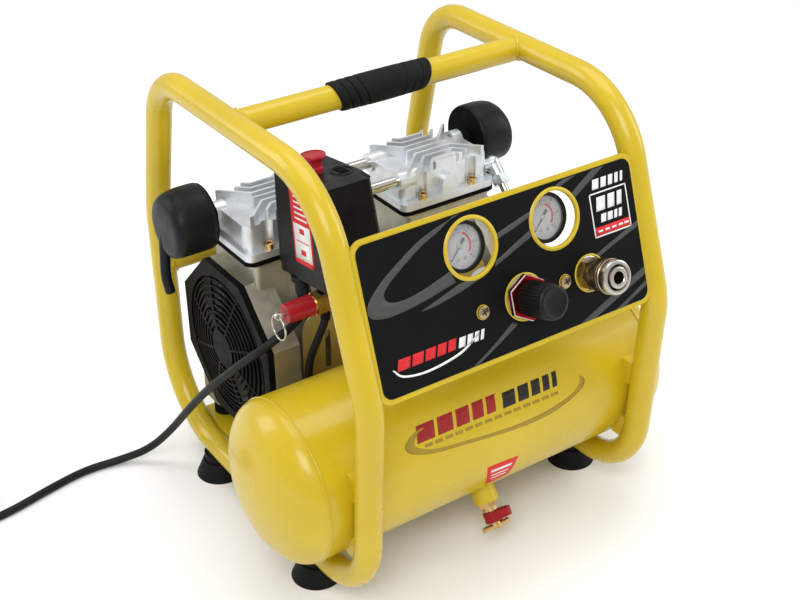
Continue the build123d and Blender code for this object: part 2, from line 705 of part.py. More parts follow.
def make_running_gear():
    """Everything that turns with the shaft, and the one-piece rods and pistons above it."""
    hole = disc(OUTWARD, shaft_r, 60, 90)
    throw = disc(OUTWARD, 13, 73, 83, (0, throw_up)) - hole
    weight = disc(OUTWARD, 31, 66, 72) & block((60, 80), (-31, 31), (-31, 2))
    weight = weight + disc(OUTWARD, 11, 65, 73.5) - hole
    save("crankshaft", on_side(1, disc(OUTWARD, shaft_r, -126, 126)), *both_sides(throw + weight))
    save("motor_rotor", on_side(1, ring(OUTWARD, 31, shaft_r, -31, 31)))
    save("cooling_fans", *both_sides(fan()))
    rod = ring(OUTWARD, 24, 19.5, 75, 82) + block((75, 82), (-5, 5), (21, 68))
    rod += disc(Plane.XY, bore_r - 0.3, 68, 76, (cylinder_x, 0)) + disc(Plane.XY, 17, 64, 68, (cylinder_x, 0))
    save("wobble_pistons", *both_sides(rod))


def fan():
    """Seven-bladed cooling fan on the shaft's end."""
    blades = 7
    wheel = disc(OUTWARD, 14, 112, 124)
    for number in range(blades):
        blade = Pos(37.5, 0, 118) * Rot(32, 0, 0) * Box(51, 15, 2.0)
        wheel += OUTWARD * Rot(0, 0, number * 360 / blades) * blade
    return wheel - disc(OUTWARD, shaft_r, 100, 130)


def make_guards():
    """Octagonal fan guards with a shallow domed grille of rings and spokes."""
    rise = guard_apex - guard_out + 1
    dome_r = (guard_opening ** 2 + rise ** 2) / (2 * rise)
    frame = octagon(guard_flats, housing_out, guard_out)
    frame -= disc(OUTWARD, guard_opening, housing_out - 1, guard_out + 1)
    shell = Pos(guard_apex - dome_r, 0, 0) * (Sphere(dome_r) - Sphere(dome_r - 2.4))
    reach = (housing_out, guard_apex + 1)
    pattern = disc(OUTWARD, 17.5, *reach)
    for number in range(8):
        radius = 22.5 + 5.7 * number
        pattern += ring(OUTWARD, radius + 0.9, radius - 0.9, *reach)
    for number in range(4):
        spoke = Rot(0, 0, 22.5 + number * 45) * Pos(0, 0, guard_out) * Box(2 * guard_opening + 3, 2.2, 12)
        pattern += OUTWARD * spoke
    save("fan_guards", *both_sides(frame + (shell & pattern)))


def tie_rod_places():
    angles = [pi / 4 + turn * pi / 2 for turn in range(4)]
    return [(51.5 * cos(angle), 51.5 * sin(angle)) for angle in angles]


def make_motor():
    core = ring(OUTWARD, 56, 32, -33, 33)
    for at in tie_rod_places():
        core -= disc(OUTWARD, 2.5, -40, 40, at)
    save("motor_stator", on_side(1, core), *both_sides(ring(OUTWARD, 47, 34, 33, 48)))

    low, high = -58.0, 48.0
    face = Plane(origin=(0, shroud_y, (low + high) / 2), x_dir=(1, 0, 0), z_dir=(0, -1, 0))
    shroud = face * extrude(RectangleRounded(194, high - low, 16), 1.2)
    shroud += block((-78, 78), (shroud_y - 1.2, shroud_y + 26), (high - 1.2, high))
    for x in (-72, -48, -24, 24, 48, 72):
        shroud -= face * Pos(x, 14, -1) * extrude(SlotOverall(38, 5.5, rotation=90), 4)
    for side in (-1, 1):
        shroud -= disc(face, 4.5, -1, 3, (side * 88, -40))
        shroud -= face * Pos(side * 84, -24, -1) * extrude(RectangleRounded(10, 16, 4), 4)
    save("motor_shroud", on_side(1, shroud))

    axis = along_x(capacitor_y, capacitor_z)
    save("run_capacitor", disc(axis, capacitor_r, -32, 36) + disc(axis, 15, 36, 40))


def make_isolators():
    """Waisted rubber blocks between the motor plate and the crankcase feet."""
    rubbers = []
    for at in isolator_places():
        rubber = ring(Plane.XY, 10.5, 3, plate_top, isolator_top, at)
        rubbers.append(rubber - ring(Plane.XY, 12, 9, plate_top + 6, plate_top + 10, at))
    save("isolators", *rubbers)


def filter_body(inset):
    """Round silencer can with a bulged outer end, smaller by an inset all round."""
    radius = filter_r - inset
    inner_end, outer_end = filter_x
    bulge = 10
    profile = make_face([
        Line((inner_end + inset, 0), (inner_end + inset, radius)),
        Line((inner_end + inset, radius), (outer_end - bulge, radius)),
        EllipticalCenterArc((outer_end - bulge, 0), bulge - inset, radius, 0, arc_size=90),
        Line((outer_end - inset, 0), (inner_end + inset, 0)),
    ])
    return Pos(0, filter_y, filter_z) * revolve(profile, axis=Axis.X)


def make_intakes():
    """Intake silencers outside the heads, each with a snorkel below and a foam disc inside."""
    inlet = along_x(filter_y, filter_z)
    route = [(171.5, filter_y + 1, filter_z - 12), (173, filter_y + 1, filter_z - 34)]
    route += [(171, filter_y + 1, filter_z - 50), (166.5, filter_y, filter_z - 62)]
    path = FilletPolyline(*route, radius=arc_radii(route))
    can = filter_body(0) + disc(inlet, 9, 128, filter_x[0] + 1) + round_bar(path, 5.0)
    can -= filter_body(2.5)
    can -= disc(inlet, 6, 127, filter_x[0] + 4)
    can -= round_bar(path, 3.6)
    save("intake_filters", *both_sides(can))
    save("filter_foams", *both_sides(disc(inlet, filter_r - 3, 144, 160)))


# ---- cords ----------------------------------------------------------------------------

def cord_tube(name, route, diameter):
    """Round cord along straight runs joined by tangent arcs."""
    radii = arc_radii(route)
    path = FilletPolyline(*route, radius=radii)
    tube = round_bar(path, diameter / 2)
    ratio = tube.volume / (pi * diameter ** 2 / 4 * path.length)
    print(name, "radii", [round(bend, 1) for bend in radii])
    print(name, "length", round(path.length, 1), "volume over section x length", round(ratio, 4))
    save(name, tube)


def make_cords():
    cord_tube("mains_cord", mains_route, cord_d)
    cord_tube("motor_lead", lead_route, lead_d)
    coil_out = coil_mean + cord_d
    save("cord_coil", ring(Plane.XY, coil_out, coil_mean - cord_d, 0, coil_layers * cord_d, coil_centre))

    start = (coil_centre[0] - coil_mean, coil_centre[1] + 22, 14.0)
    along = Plane(origin=start, x_dir=(1, 0, 0), z_dir=(0, 1, 0))
    plug = along * Cone(4.4, 8.0, 36, align=BASE)
    plug += along * Pos(0, 2.8, 34) * extrude(RectangleRounded(28, 22, 9), 22)
    pins = [along * Pos(side * 6.35, 0, 56) * Box(1.5, 6.3, 18, align=BASE) for side in (-1, 1)]
    pins.append(disc(along, 2.4, 56, 76, (0, 8)))
    save("mains_plug", plug, *pins)


# ---- everything -------------------------------------------------------------------------

os.makedirs("parts", exist_ok=True)
make_frame()
make_motor_plate()
make_feet()
make_tank()
make_welded_fittings()
make_drain_valve()
make_panel()
make_gauges()
make_outlet_blocks()
make_regulator()
make_coupler()
make_switch()
make_manifold()
make_relief_valve()
make_pipes()
make_crankcases()
make_heads()
make_bolts()
make_running_gear()
make_guards()
make_motor()
make_isolators()
make_intakes()
make_cords()
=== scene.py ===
"""Looks of a twin-cylinder compressor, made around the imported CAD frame.

Places are in millimetres until mm() turns them into the scene's metres, +Z up.
X runs along the tank and -Y is towards the user.
"""

import math

import bmesh
import bpy
from mathutils import Matrix, Vector, noise


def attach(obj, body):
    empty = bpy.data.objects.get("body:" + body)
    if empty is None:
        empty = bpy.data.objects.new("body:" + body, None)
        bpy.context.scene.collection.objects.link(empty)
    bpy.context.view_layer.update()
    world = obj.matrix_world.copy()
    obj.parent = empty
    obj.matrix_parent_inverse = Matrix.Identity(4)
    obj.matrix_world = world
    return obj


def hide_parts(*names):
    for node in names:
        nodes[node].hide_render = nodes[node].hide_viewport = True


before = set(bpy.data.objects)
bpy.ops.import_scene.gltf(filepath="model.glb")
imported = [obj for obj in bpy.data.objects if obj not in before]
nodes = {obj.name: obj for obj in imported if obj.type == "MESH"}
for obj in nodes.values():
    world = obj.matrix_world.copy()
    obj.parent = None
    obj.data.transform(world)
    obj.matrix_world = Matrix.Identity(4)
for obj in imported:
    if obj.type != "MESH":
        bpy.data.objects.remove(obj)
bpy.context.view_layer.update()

MM = 0.001


def mm(x, y, z):
    return Vector((x, y, z)) * MM


def axes(origin, x, y, z):
    """Matrix with these axes, whose own units are millimetres."""
    columns = [Vector(v).normalized() * MM for v in (x, y, z)] + [mm(*origin)]
    return Matrix([[c[row] for c in columns] for row in range(3)] + [[0, 0, 0, 1]])


# ---- camera, floor and light ----------------------------------------------------------

CAMERA_AT = (-0.5810, -0.8503, 0.8058)
CAMERA_AZIMUTH = -34.163
CAMERA_ELEVATION = 31.032
CAMERA_ROLL = -0.65
CAMERA_LENS = 62.604


def make_camera():
    azimuth, elevation, roll = map(math.radians, (CAMERA_AZIMUTH, CAMERA_ELEVATION, CAMERA_ROLL))
    back = Vector((
        math.sin(azimuth) * math.cos(elevation),
        -math.cos(azimuth) * math.cos(elevation),
        math.sin(elevation),
    ))
    level = Vector((math.cos(azimuth), math.sin(azimuth), 0))
    over = back.cross(level)
    right = level * math.cos(roll) + over * math.sin(roll)
    up = over * math.cos(roll) - level * math.sin(roll)
    data = bpy.data.cameras.new("camera")
    data.sensor_width = 36
    data.lens = CAMERA_LENS
    data.clip_end = 50
    camera = bpy.data.objects.new("camera", data)
    bpy.context.scene.collection.objects.link(camera)
    rows = [[right[i], up[i], back[i], CAMERA_AT[i]] for i in range(3)]
    camera.matrix_world = Matrix(rows + [[0, 0, 0, 1]])
    bpy.context.scene.camera = camera


def area_light(name, at, size, watts, colour=(1, 1, 1), aim=(0, 0, 0.18)):
    data = bpy.data.lights.new(name, "AREA")
    data.shape = "RECTANGLE"
    data.size, data.size_y = size
    data.energy = watts
    data.color = colour
    light = bpy.data.objects.new(name, data)
    bpy.context.scene.collection.objects.link(light)
    light.location = at
    light.rotation_euler = (Vector(at) - Vector(aim)).to_track_quat("Z", "Y").to_euler()


def make_studio():
    area_light("key", (-1.3, -1.5, 2.1), (1.5, 1.2), 34)
    area_light("overhead", (0.2, 0.3, 2.4), (2.0, 1.6), 26)
    area_light("side", (2.0, -0.9, 1.2), (1.0, 1.4), 16)
    area_light("rim", (-1.6, 1.6, 1.3), (0.9, 1.4), 14)
    world = bpy.data.worlds.new("studio")
    world.use_nodes = True
    world.node_tree.nodes["Background"].inputs["Color"].default_value = (1, 1, 1, 1)
    world.node_tree.nodes["Background"].inputs["Strength"].default_value = 0.62
    bpy.context.scene.world = world
    bpy.context.scene.view_settings.view_transform = "Standard"


# ---- materials ------------------------------------------------------------------------

class Finish:
    """A Principled material, and the few node patterns that the finishes share."""

    def __init__(self, name, rough=0.5, metal=0.0, **sockets):
        self.material = bpy.data.materials.new(name)
        self.material.use_nodes = True
        self.tree = self.material.node_tree
        self.shader = self.tree.nodes["Principled BSDF"]
        self.shader.inputs["Roughness"].default_value = rough
        self.shader.inputs["Metallic"].default_value = metal
        for socket, value in sockets.items():
            self.shader.inputs[socket.replace("_", " ")].default_value = value
        self.place = self.tree.nodes.new("ShaderNodeTexCoord").outputs["Object"]

    def link(self, output, target):
        self.tree.links.new(output, target)

    def stretched(self, scale):
        mapping = self.tree.nodes.new("ShaderNodeMapping")
        mapping.inputs["Scale"].default_value = scale
        self.link(self.place, mapping.inputs["Vector"])
        return mapping.outputs["Vector"]

    def noise(self, scale, detail=3.0, stretch=None):
        node = self.tree.nodes.new("ShaderNodeTexNoise")
        node.inputs["Scale"].default_value = scale
        node.inputs["Detail"].default_value = detail
        self.link(self.stretched(stretch) if stretch else self.place, node.inputs["Vector"])
        return node.outputs["Fac"]

    def ramp(self, value, *stops):
        """Colour ramp of (position, colour) stops; a colour may be one grey number."""
        node = self.tree.nodes.new("ShaderNodeValToRGB")
        line = node.color_ramp.elements
        while len(line) < len(stops):
            line.new(0.5)
        for element, (position, colour) in zip(line, stops):
            element.position = position
            grey = isinstance(colour, (int, float))
            element.color = (colour, colour, colour, 1) if grey else (*colour, 1)
        self.link(value, node.inputs["Fac"])
        return node.outputs["Color"]

    def colour(self, value, *stops):
        self.link(self.ramp(value, *stops), self.shader.inputs["Base Color"])
        return self

    def roughness(self, value, low, high):
        self.link(self.ramp(value, (0.3, low), (0.7, high)), self.shader.inputs["Roughness"])
        return self

    def bump(self, height, strength, depth):
        """Bump of that depth in millimetres, on top of any bump made before."""
        node = self.tree.nodes.new("ShaderNodeBump")
        node.inputs["Strength"].default_value = strength
        node.inputs["Distance"].default_value = depth * MM
        self.link(height, node.inputs["Height"])
        normal = self.shader.inputs["Normal"]
        if normal.links:
            self.link(normal.links[0].from_socket, node.inputs["Normal"])
        self.link(node.outputs["Normal"], normal)
        return self


def shades(colour, spread):
    """A darker and a lighter version of a colour."""
    return tuple(c * (1 - spread) for c in colour), tuple(min(1, c * (1 + spread)) for c in colour)


def paint(name, colour, rough=0.3):
    """Powder coat: an even colour, faint orange peel and a soft clear gloss."""
    f = Finish(name, rough, Coat_Weight=0.26, Coat_Roughness=0.14, Specular_IOR_Level=0.36)
    dark, light = shades(colour, 0.045)
    f.colour(f.noise(14, 4), (0.35, dark), (0.68, light))
    f.roughness(f.noise(60, 3), rough - 0.05, rough + 0.07)
    return f.bump(f.noise(420, 2), 0.10, 0.25).material


def moulded(name, colour, rough=0.45, grain=1500, depth=0.10, spread=0.16, shine=0.22):
    """Moulded plastic or rubber with a fine spark-eroded grain."""
    f = Finish(name, rough, Specular_IOR_Level=shine)
    dark, light = shades(colour, spread)
    f.colour(f.noise(38, 4), (0.35, dark), (0.7, light))
    f.roughness(f.noise(90, 3), rough - 0.06, rough + 0.08)
    f.bump(f.noise(160, 2), 0.12, 0.2)
    return f.bump(f.noise(grain, 2), 0.35, depth).material


def printed(name, colour, rough=0.42):
    """Ink on a vinyl sticker: a faint roller texture."""
    f = Finish(name, rough, Specular_IOR_Level=0.25)
    dark, light = shades(colour, 0.06)
    f.colour(f.noise(120, 3), (0.35, dark), (0.7, light))
    return f.bump(f.noise(900, 2), 0.12, 0.05).material


def cast(name, colour, rough=0.42, metal=0.8):
    """Shot-blasted casting: a sandy skin, cloudy tone and soft flow marks."""
    f = Finish(name, rough, metal)
    dark, light = shades(colour, 0.13)
    f.colour(f.noise(46, 5), (0.3, dark), (0.72, light))
    f.roughness(f.noise(120, 4), rough - 0.09, rough + 0.1)
    f.bump(f.noise(180, 3), 0.16, 0.4)
    return f.bump(f.noise(1100, 2), 0.32, 0.16).material


def turned_metal(name, colour, rough=0.2, spread=0.1, stretch=(1, 1, 9)):
    """Machined or plated metal with fine tool marks and a little tarnish."""
    f = Finish(name, rough, 1.0)
    dark, light = shades(colour, spread)
    f.colour(f.noise(70, 5), (0.3, dark), (0.7, light))
    f.roughness(f.noise(150, 4), max(0.05, rough - 0.07), rough + 0.1)
    return f.bump(f.noise(420, 2, stretch), 0.10, 0.06).material


def sheet_with_painted_reflection(name):
    """Yellow-passivated steel sheet with cloudy streaks, and a painted reflection: grey at the top, gold
    lower down.
    """
    f = Finish(name, 0.34, 0.9)
    split = f.tree.nodes.new("ShaderNodeSeparateXYZ")
    f.link(f.place, split.inputs["Vector"])
    # Painted reflection: the height alone moves the colour from gold low down to grey at the top; the
    # noise adds the cloudy streaks.
    height = f.tree.nodes.new("ShaderNodeMapRange")
    height.inputs["From Min"].default_value = 85 * MM
    height.inputs["From Max"].default_value = 195 * MM
    f.link(split.outputs["Z"], height.inputs["Value"])
    drift = f.tree.nodes.new("ShaderNodeMath")
    drift.operation = "MULTIPLY_ADD"
    f.link(f.noise(34, 4, (1, 1, 0.4)), drift.inputs[0])
    drift.inputs[1].default_value = 0.42
    f.link(height.outputs["Result"], drift.inputs[2])
    gold, tan, grey = (0.52, 0.39, 0.09), (0.66, 0.54, 0.22), (0.72, 0.68, 0.52)
    f.colour(drift.outputs["Value"], (0.15, gold), (0.6, tan), (1.0, grey))
    f.roughness(f.noise(80, 4), 0.27, 0.42)
    return f.bump(f.noise(300, 2, (1, 1, 6)), 0.12, 0.08).material


def lens_clear(name):
    """Clear acrylic: seen through, with only its gloss showing."""
    f = Finish(name, 0.05, Alpha=0.10, IOR=1.49)
    f.colour(f.noise(30, 2), (0.3, (0.90, 0.93, 0.95)), (0.7, (0.97, 0.98, 1.0)))
    return f.material


def foam_cell(name):
    """Open-cell filter foam."""
    f = Finish(name, 0.95)
    f.colour(f.noise(900, 2), (0.35, (0.03, 0.03, 0.033)), (0.65, (0.12, 0.12, 0.125)))
    return f.bump(f.noise(700, 2), 0.9, 0.8).material


YELLOW = (0.55, 0.395, 0.010)
BLACK = (0.0045, 0.0048, 0.0048)
RED = (0.30, 0.006, 0.010)

yellow = paint("yellow_powder_coat", YELLOW)
label_black = moulded("label_black", (0.0045, 0.0051, 0.0048), 0.5, 1300, 0.04, 0.1, 0.08)
label_grey = printed("label_grey", (0.058, 0.062, 0.058), 0.5)
ink_white = printed("ink_white", (0.78, 0.78, 0.76))
ink_red = printed("ink_red", (0.62, 0.018, 0.022))
ink_dark_red = printed("ink_dark_red", (0.30, 0.016, 0.018))
ink_black = printed("ink_black", (0.02, 0.017, 0.014))
ink_olive = printed("ink_olive", (0.33, 0.225, 0.022))
black_plastic = moulded("black_plastic", BLACK, 0.42)
guard_plastic = moulded("guard_plastic", (0.0035, 0.0035, 0.0035), 0.5, shine=0.06)
filter_plastic = moulded("filter_plastic", (0.0055, 0.0065, 0.0075), 0.42, shine=0.18)
rubber = moulded("black_rubber", (0.005, 0.0053, 0.0055), 0.58, 900, 0.12, shine=0.14)
cord_rubber = moulded("cord_rubber", (0.0075, 0.008, 0.0082), 0.5, 700, 0.08)
gasket_rubber = moulded("gasket_rubber", (0.003, 0.003, 0.003), 0.7, shine=0.05)
red_plastic = moulded("red_plastic", RED, 0.3, 900, 0.04, 0.08)
red_knob = moulded("red_knob", (0.40, 0.013, 0.024), 0.36, 900, 0.05, 0.1)
red_anodised = turned_metal("red_anodised", (0.42, 0.008, 0.014), 0.34)
brass = turned_metal("brass", (0.62, 0.42, 0.17), 0.24)
bronze = turned_metal("bronze", (0.40, 0.31, 0.18), 0.3)
dull_brass = turned_metal("dull_brass", (0.36, 0.29, 0.17), 0.32, 0.16)
old_brass = turned_metal("old_brass", (0.36, 0.28, 0.19), 0.3, 0.18)
aluminium = cast("cast_aluminium", (0.70, 0.73, 0.76), 0.40, 0.76)
housing_metal = cast("housing_aluminium", (0.42, 0.405, 0.33), 0.45)
steel = turned_metal("bright_steel", (0.52, 0.50, 0.46), 0.28)
dark_steel = turned_metal("dark_steel", (0.20, 0.20, 0.20), 0.35)
chrome = turned_metal("chrome", (0.66, 0.655, 0.63), 0.13, 0.07)
black_steel = moulded("black_steel", (0.014, 0.014, 0.015), 0.3, 900, 0.03)
dial_face = printed("dial_face", (0.50, 0.53, 0.56), 0.5)
nickel = turned_metal("pale_nickel", (0.60, 0.64, 0.65), 0.3)
clear = lens_clear("clear_acrylic")
foam = foam_cell("filter_foam")
shroud_painted_reflection = sheet_with_painted_reflection("plated_shroud_painted_reflection")

NODE_FINISHES = {
    yellow: "left_hoop right_hoop cross_bars motor_plate welded_fittings tank_shell control_panel",
    label_black: "panel_label",
    black_plastic: "switch_base switch_cover cord_glands cooling_fans intake_filters"
                   " regulator_knob",
    guard_plastic: "fan_guards",
    rubber: "foot_pads hand_grip isolators mains_plug",
    cord_rubber: "mains_cord cord_coil motor_lead",
    gasket_rubber: "head_gaskets",
    red_plastic: "relief_valve_cap drain_valve_handle",
    red_knob: "switch_knob",
    red_anodised: "regulator_nut",
    dull_brass: "coupler_body",
    brass: "drain_valve_body panel_screws manifold outlet_blocks"
           " relief_valve_body bolts",
    old_brass: "coupler_sleeve",
    aluminium: "cylinder_heads regulator_body cylinder_sleeves wobble_pistons",
    housing_metal: "crankcases",
    steel: "relief_valve_stem relief_valve_ring regulator_spring valve_plates"
           " crankshaft shaft_bearings",
    dark_steel: "motor_rotor motor_stator run_capacitor switch_works",
    shroud_painted_reflection: "motor_shroud",
    chrome: "cross_tubes air_pipes",
    nickel: "pipe_fittings",
    black_steel: "gauge_cases gauge_needle_left gauge_needle_right",
    dial_face: "gauge_dials",
    clear: "gauge_lenses",
    foam: "filter_foams",
}


def finish_nodes():
    for finish, names in NODE_FINISHES.items():
        for name in names.split():
            slots = nodes[name].data.materials
            slots.clear()
            slots.append(finish)


# ---- mesh helpers ---------------------------------------------------------------------

SMOOTH_ANGLE = math.radians(32)


def add_piece(name, verts, faces, finish, body, smooth=SMOOTH_ANGLE):
    mesh = bpy.data.meshes.new(name)
    mesh.from_pydata(verts, [], faces)
    return add_mesh(name, mesh, finish, body, smooth)


def add_mesh(name, mesh, finish, body, smooth=SMOOTH_ANGLE):
    """Links a mesh as a piece that rides on a body, with its normals outward."""
    shape = bmesh.new()
    shape.from_mesh(mesh)
    bmesh.ops.remove_doubles(shape, verts=shape.verts, dist=1e-7)
    bmesh.ops.recalc_face_normals(shape, faces=shape.faces)
    shape.to_mesh(mesh)
    shape.free()
    mesh.shade_smooth()
    mesh.set_sharp_from_angle(angle=smooth)
    piece = bpy.data.objects.new(name, mesh)
    bpy.context.scene.collection.objects.link(piece)
    mesh.materials.append(finish)
    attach(piece, body)
    return piece


def solidify(piece, thickness):
    """Gives a surface a thickness in millimetres, inward."""
    layer = piece.modifiers.new("thickness", "SOLIDIFY")
    layer.thickness = thickness * MM
    layer.offset = -1
    return piece


def soften(piece, width):
    """Rounds a piece's edges by that many millimetres."""
    edge = piece.modifiers.new("edges", "BEVEL")
    edge.width = width * MM
    edge.segments = 2
    edge.limit_method = "ANGLE"
    edge.angle_limit = math.radians(30)
    return piece


def grid_faces(rows, columns, wrap_rows=False, wrap_columns=False):
    faces = []
    for i in range(rows if wrap_rows else rows - 1):
        for j in range(columns if wrap_columns else columns - 1):
            k, l = (i + 1) % rows, (j + 1) % columns
            faces.append((i * columns + j, k * columns + j, k * columns + l, i * columns + l))
    return faces


def turned(name, profile, place, finish, body, steps=72, change=None, closed=False):
    """Turns (radius, height) points about place's Z; change(angle, r, h) may alter a radius."""
    verts = []
    for i in range(steps):
        angle = 2 * math.pi * i / steps
        for r, h in profile:
            reach = change(angle, r, h) if change else r
            verts.append(place @ Vector((reach * math.cos(angle), reach * math.sin(angle), h)))
    count = len(profile)
    faces = grid_faces(steps, count, wrap_rows=True, wrap_columns=closed)
    if not closed:
        faces.append([i * count for i in range(steps)])
        faces.append([i * count + count - 1 for i in range(steps)])
    return add_piece(name, verts, faces, finish, body)


def smooth_line(points, count):
    """Even-parameter points of a Catmull-Rom curve through 2-D or 3-D points."""
    points = [Vector(p) for p in points]
    if len(points) == 2:
        return [points[0].lerp(points[1], i / (count - 1)) for i in range(count)]
    ends = [points[0] * 2 - points[1]] + points + [points[-1] * 2 - points[-2]]
    lengths = [0.0]
    for a, b in zip(points, points[1:]):
        lengths.append(lengths[-1] + (b - a).length)
    line = []
    for i in range(count):
        reach = lengths[-1] * i / (count - 1)
        k = max(j for j in range(len(points) - 1) if lengths[j] <= reach + 1e-9)
        t = (reach - lengths[k]) / (lengths[k + 1] - lengths[k])
        a, b, c, d = ends[k:k + 4]
        line.append(0.5 * (2 * b + (c - a) * t + (2 * a - 5 * b + 4 * c - d) * t ** 2
                           + (3 * b - a - 3 * c + d) * t ** 3))
    return line


def band(name, first_edge, second_edge, place, finish, steps=28, across=3, thick=0.10):
    """A printed shape between two smooth edges of a few points each, laid on a surface."""
    verts = []
    for a, b in zip(smooth_line(first_edge, steps), smooth_line(second_edge, steps)):
        verts += [place(*a.lerp(b, j / across)) for j in range(across + 1)]
    piece = add_piece(name, verts, grid_faces(steps, across + 1), finish, "frame")
    return solidify(piece, thick)


def joined_bands(name, pairs, place, finish, steps=6, across=2, thick=0.10, body="frame"):
    """Several straight-edged printed shapes as one piece."""
    verts, faces = [], []
    for first_edge, second_edge in pairs:
        start = len(verts)
        for a, b in zip(smooth_line(first_edge, steps), smooth_line(second_edge, steps)):
            verts += [place(*a.lerp(b, j / across)) for j in range(across + 1)]
        faces += [tuple(start + v for v in face) for face in grid_faces(steps, across + 1)]
    return solidify(add_piece(name, verts, faces, finish, body), thick)


def speed_bars(x, low, high, widths, gap, slant):
    """Edges of a row of slanted blocks, each as wide as the list says."""
    pairs = []
    for width in widths:
        pairs.append((
            [(x, low), (x + slant, high)],
            [(x + width, low), (x + width + slant, high)],
        ))
        x += width + gap
    return pairs


def frames_along(line):
    """A point, a forward direction and a steady side direction at each point of a line."""
    side = Vector((0, 0, 1))
    out = []
    for i, point in enumerate(line):
        ahead = (line[min(i + 1, len(line) - 1)] - line[max(i - 1, 0)]).normalized()
        side = (side - ahead * side.dot(ahead)).normalized()
        out.append((point, ahead, side))
    return out


def swept(name, line, radii, finish, body, sides=20, closed=False):
    """A round sweep along a line in metres, with one radius in millimetres for each point."""
    verts = []
    for (point, ahead, side), radius in zip(frames_along(line), radii):
        other = ahead.cross(side)
        for j in range(sides):
            a = 2 * math.pi * j / sides
            verts.append(point + (side * math.cos(a) + other * math.sin(a)) * radius * MM)
    faces = grid_faces(len(line), sides, wrap_rows=closed, wrap_columns=True)
    if not closed:
        faces.append(list(range(sides)))
        faces.append([(len(line) - 1) * sides + j for j in range(sides)])
    return add_piece(name, verts, faces, finish, body)


def at_length(line, reach):
    """The point that far along a line."""
    for a, b in zip(line, line[1:]):
        step = (b - a).length
        if reach <= step:
            return a.lerp(b, reach / step)
        reach -= step
    return line[-1]


# ---- cords ----------------------------------------------------------------------------

CORD_R = 3.6
LEAD_R = 3.4
MAINS_ROUTE = [
    (-93.0, 10.59, 221.51),
    (-93.0, 9.5, 213.8),
    (-98.5, 7.0, 202.5),
    (-110.5, 3.5, 196.5),
    (-125.5, -1.0, 194.5),
    (-138.5, 2.0, 186.5),
    (-148.0, 16.5, 171.0),
    (-154.5, 39.0, 147.5),
    (-160.0, 64.0, 122.5),
    (-165.0, 98.0, 84.5),
    (-172.0, 129.0, 44.0),
    (-187.0, 151.5, 14.0),
    (-212.0, 165.0, 3.7),
    (-246.0, 169.5, 3.7),
    (-284.0, 162.5, 3.7),
    (-322.0, 152.8, 3.7),
    (-352.0, 150.0, 3.7),
    (-382.0, 150.0, 3.7),
]
LEAD_ROUTE = [
    (-85.0, -11.2, 224.57),
    (-85.0, -13.42, 208.73),
    (-92.0, -10.0, 188.0),
    (-98.5, -5.0, 167.0),
    (-100.0, -2.0, 146.5),
    (-94.0, 0.5, 129.0),
    (-85.5, 5.5, 119.0),
    (-81.0, 18.0, 116.5),
]
COIL_CENTRE = (-382.0, 194.6)
COIL_OUTER, COIL_INNER = 44.6, 37.4
COIL_LEVELS = (3.7, 10.9, 18.1)
COIL_TURNS = 5.25
POINTS_PER_TURN = 16
COIL_TAIL = [
    (-426.6, 206.0, 18.1),
    (-425.6, 219.0, 16.8),
    (-423.8, 234.0, 14.6),
    (-423.0, 250.0, 14.0),
]
PLUG_LEVEL = 11.2       # height of the plug's middle
PIN_ROOT = 22.5         # where the pins leave the plug, from the end of the cord
PIN_SPREAD = 6.35
BLADE = (1.5, 18, 6.3)
EARTH_R = 2.4
EARTH_LENGTH = 20
EARTH_LEVEL = 6


def coil_place(turn):
    """Radius and height at a number of turns: each turn shifts over an eighth of its length."""
    low, middle, top = COIL_LEVELS
    outer, inner = COIL_OUTER, COIL_INNER
    shifts = [(0.0, outer, low), (0.875, outer, low), (1.0, inner, low), (1.75, inner, low),
              (1.875, inner, middle), (2.625, inner, middle), (2.75, outer, middle),
              (3.5, outer, middle), (3.625, inner, top), (4.375, inner, top),
              (4.5, outer, top), (COIL_TURNS, outer, top)]
    for (start, r0, z0), (end, r1, z1) in zip(shifts, shifts[1:]):
        if turn <= end:
            share = (turn - start) / (end - start)
            return r0 + (r1 - r0) * share, z0 + (z1 - z0) * share
    return outer, top


def coil_points():
    points = []
    for i in range(1, int(COIL_TURNS * POINTS_PER_TURN) + 1):
        turn = i / POINTS_PER_TURN
        radius, height = coil_place(turn)
        angle = -math.pi / 2 - 2 * math.pi * turn
        points.append((
            COIL_CENTRE[0] + radius * math.cos(angle),
            COIL_CENTRE[1] + radius * math.sin(angle),
            height,
        ))
    return points


def cord_curve(name, points, radius, finish):
    curve = bpy.data.curves.new(name, "CURVE")
    curve.dimensions = "3D"
    spline = curve.splines.new("NURBS")
    spline.points.add(len(points) - 1)
    for target, point in zip(spline.points, points):
        target.co = (*mm(*point), 1)
    spline.order_u = 3
    spline.use_endpoint_u = True
    spline.resolution_u = 10
    curve.bevel_depth = radius * MM
    curve.bevel_resolution = 5
    curve.use_fill_caps = True
    curve.materials.append(finish)
    piece = bpy.data.objects.new(name, curve)
    bpy.context.scene.collection.objects.link(piece)
    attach(piece, "frame")
    return piece


def centre_line(piece):
    """Points along a cord's own spline, with no bevel."""
    bare = piece.copy()
    bare.data = piece.data.copy()
    bare.data.bevel_depth = 0
    mesh = bpy.data.meshes.new_from_object(bare)
    line = [v.co.copy() for v in mesh.vertices]
    bpy.data.objects.remove(bare)
    return line


def ribbed_sleeve(name, line, start_r, end_r, length, ribs, finish):
    """Tapered strain relief over the first stretch of a line, with grooves between its ribs."""
    per_rib = 4
    count = ribs * per_rib + 1
    points = [at_length(line, length * MM * i / (count - 1)) for i in range(count)]
    radii = []
    for i in range(count):
        groove = 0.8 if i % per_rib in (1, 2) and 1 < i < count - 3 else 0
        radii.append(start_r + (end_r - start_r) * i / (count - 1) - groove)
    return swept(name, points, radii, finish, "frame", sides=24)


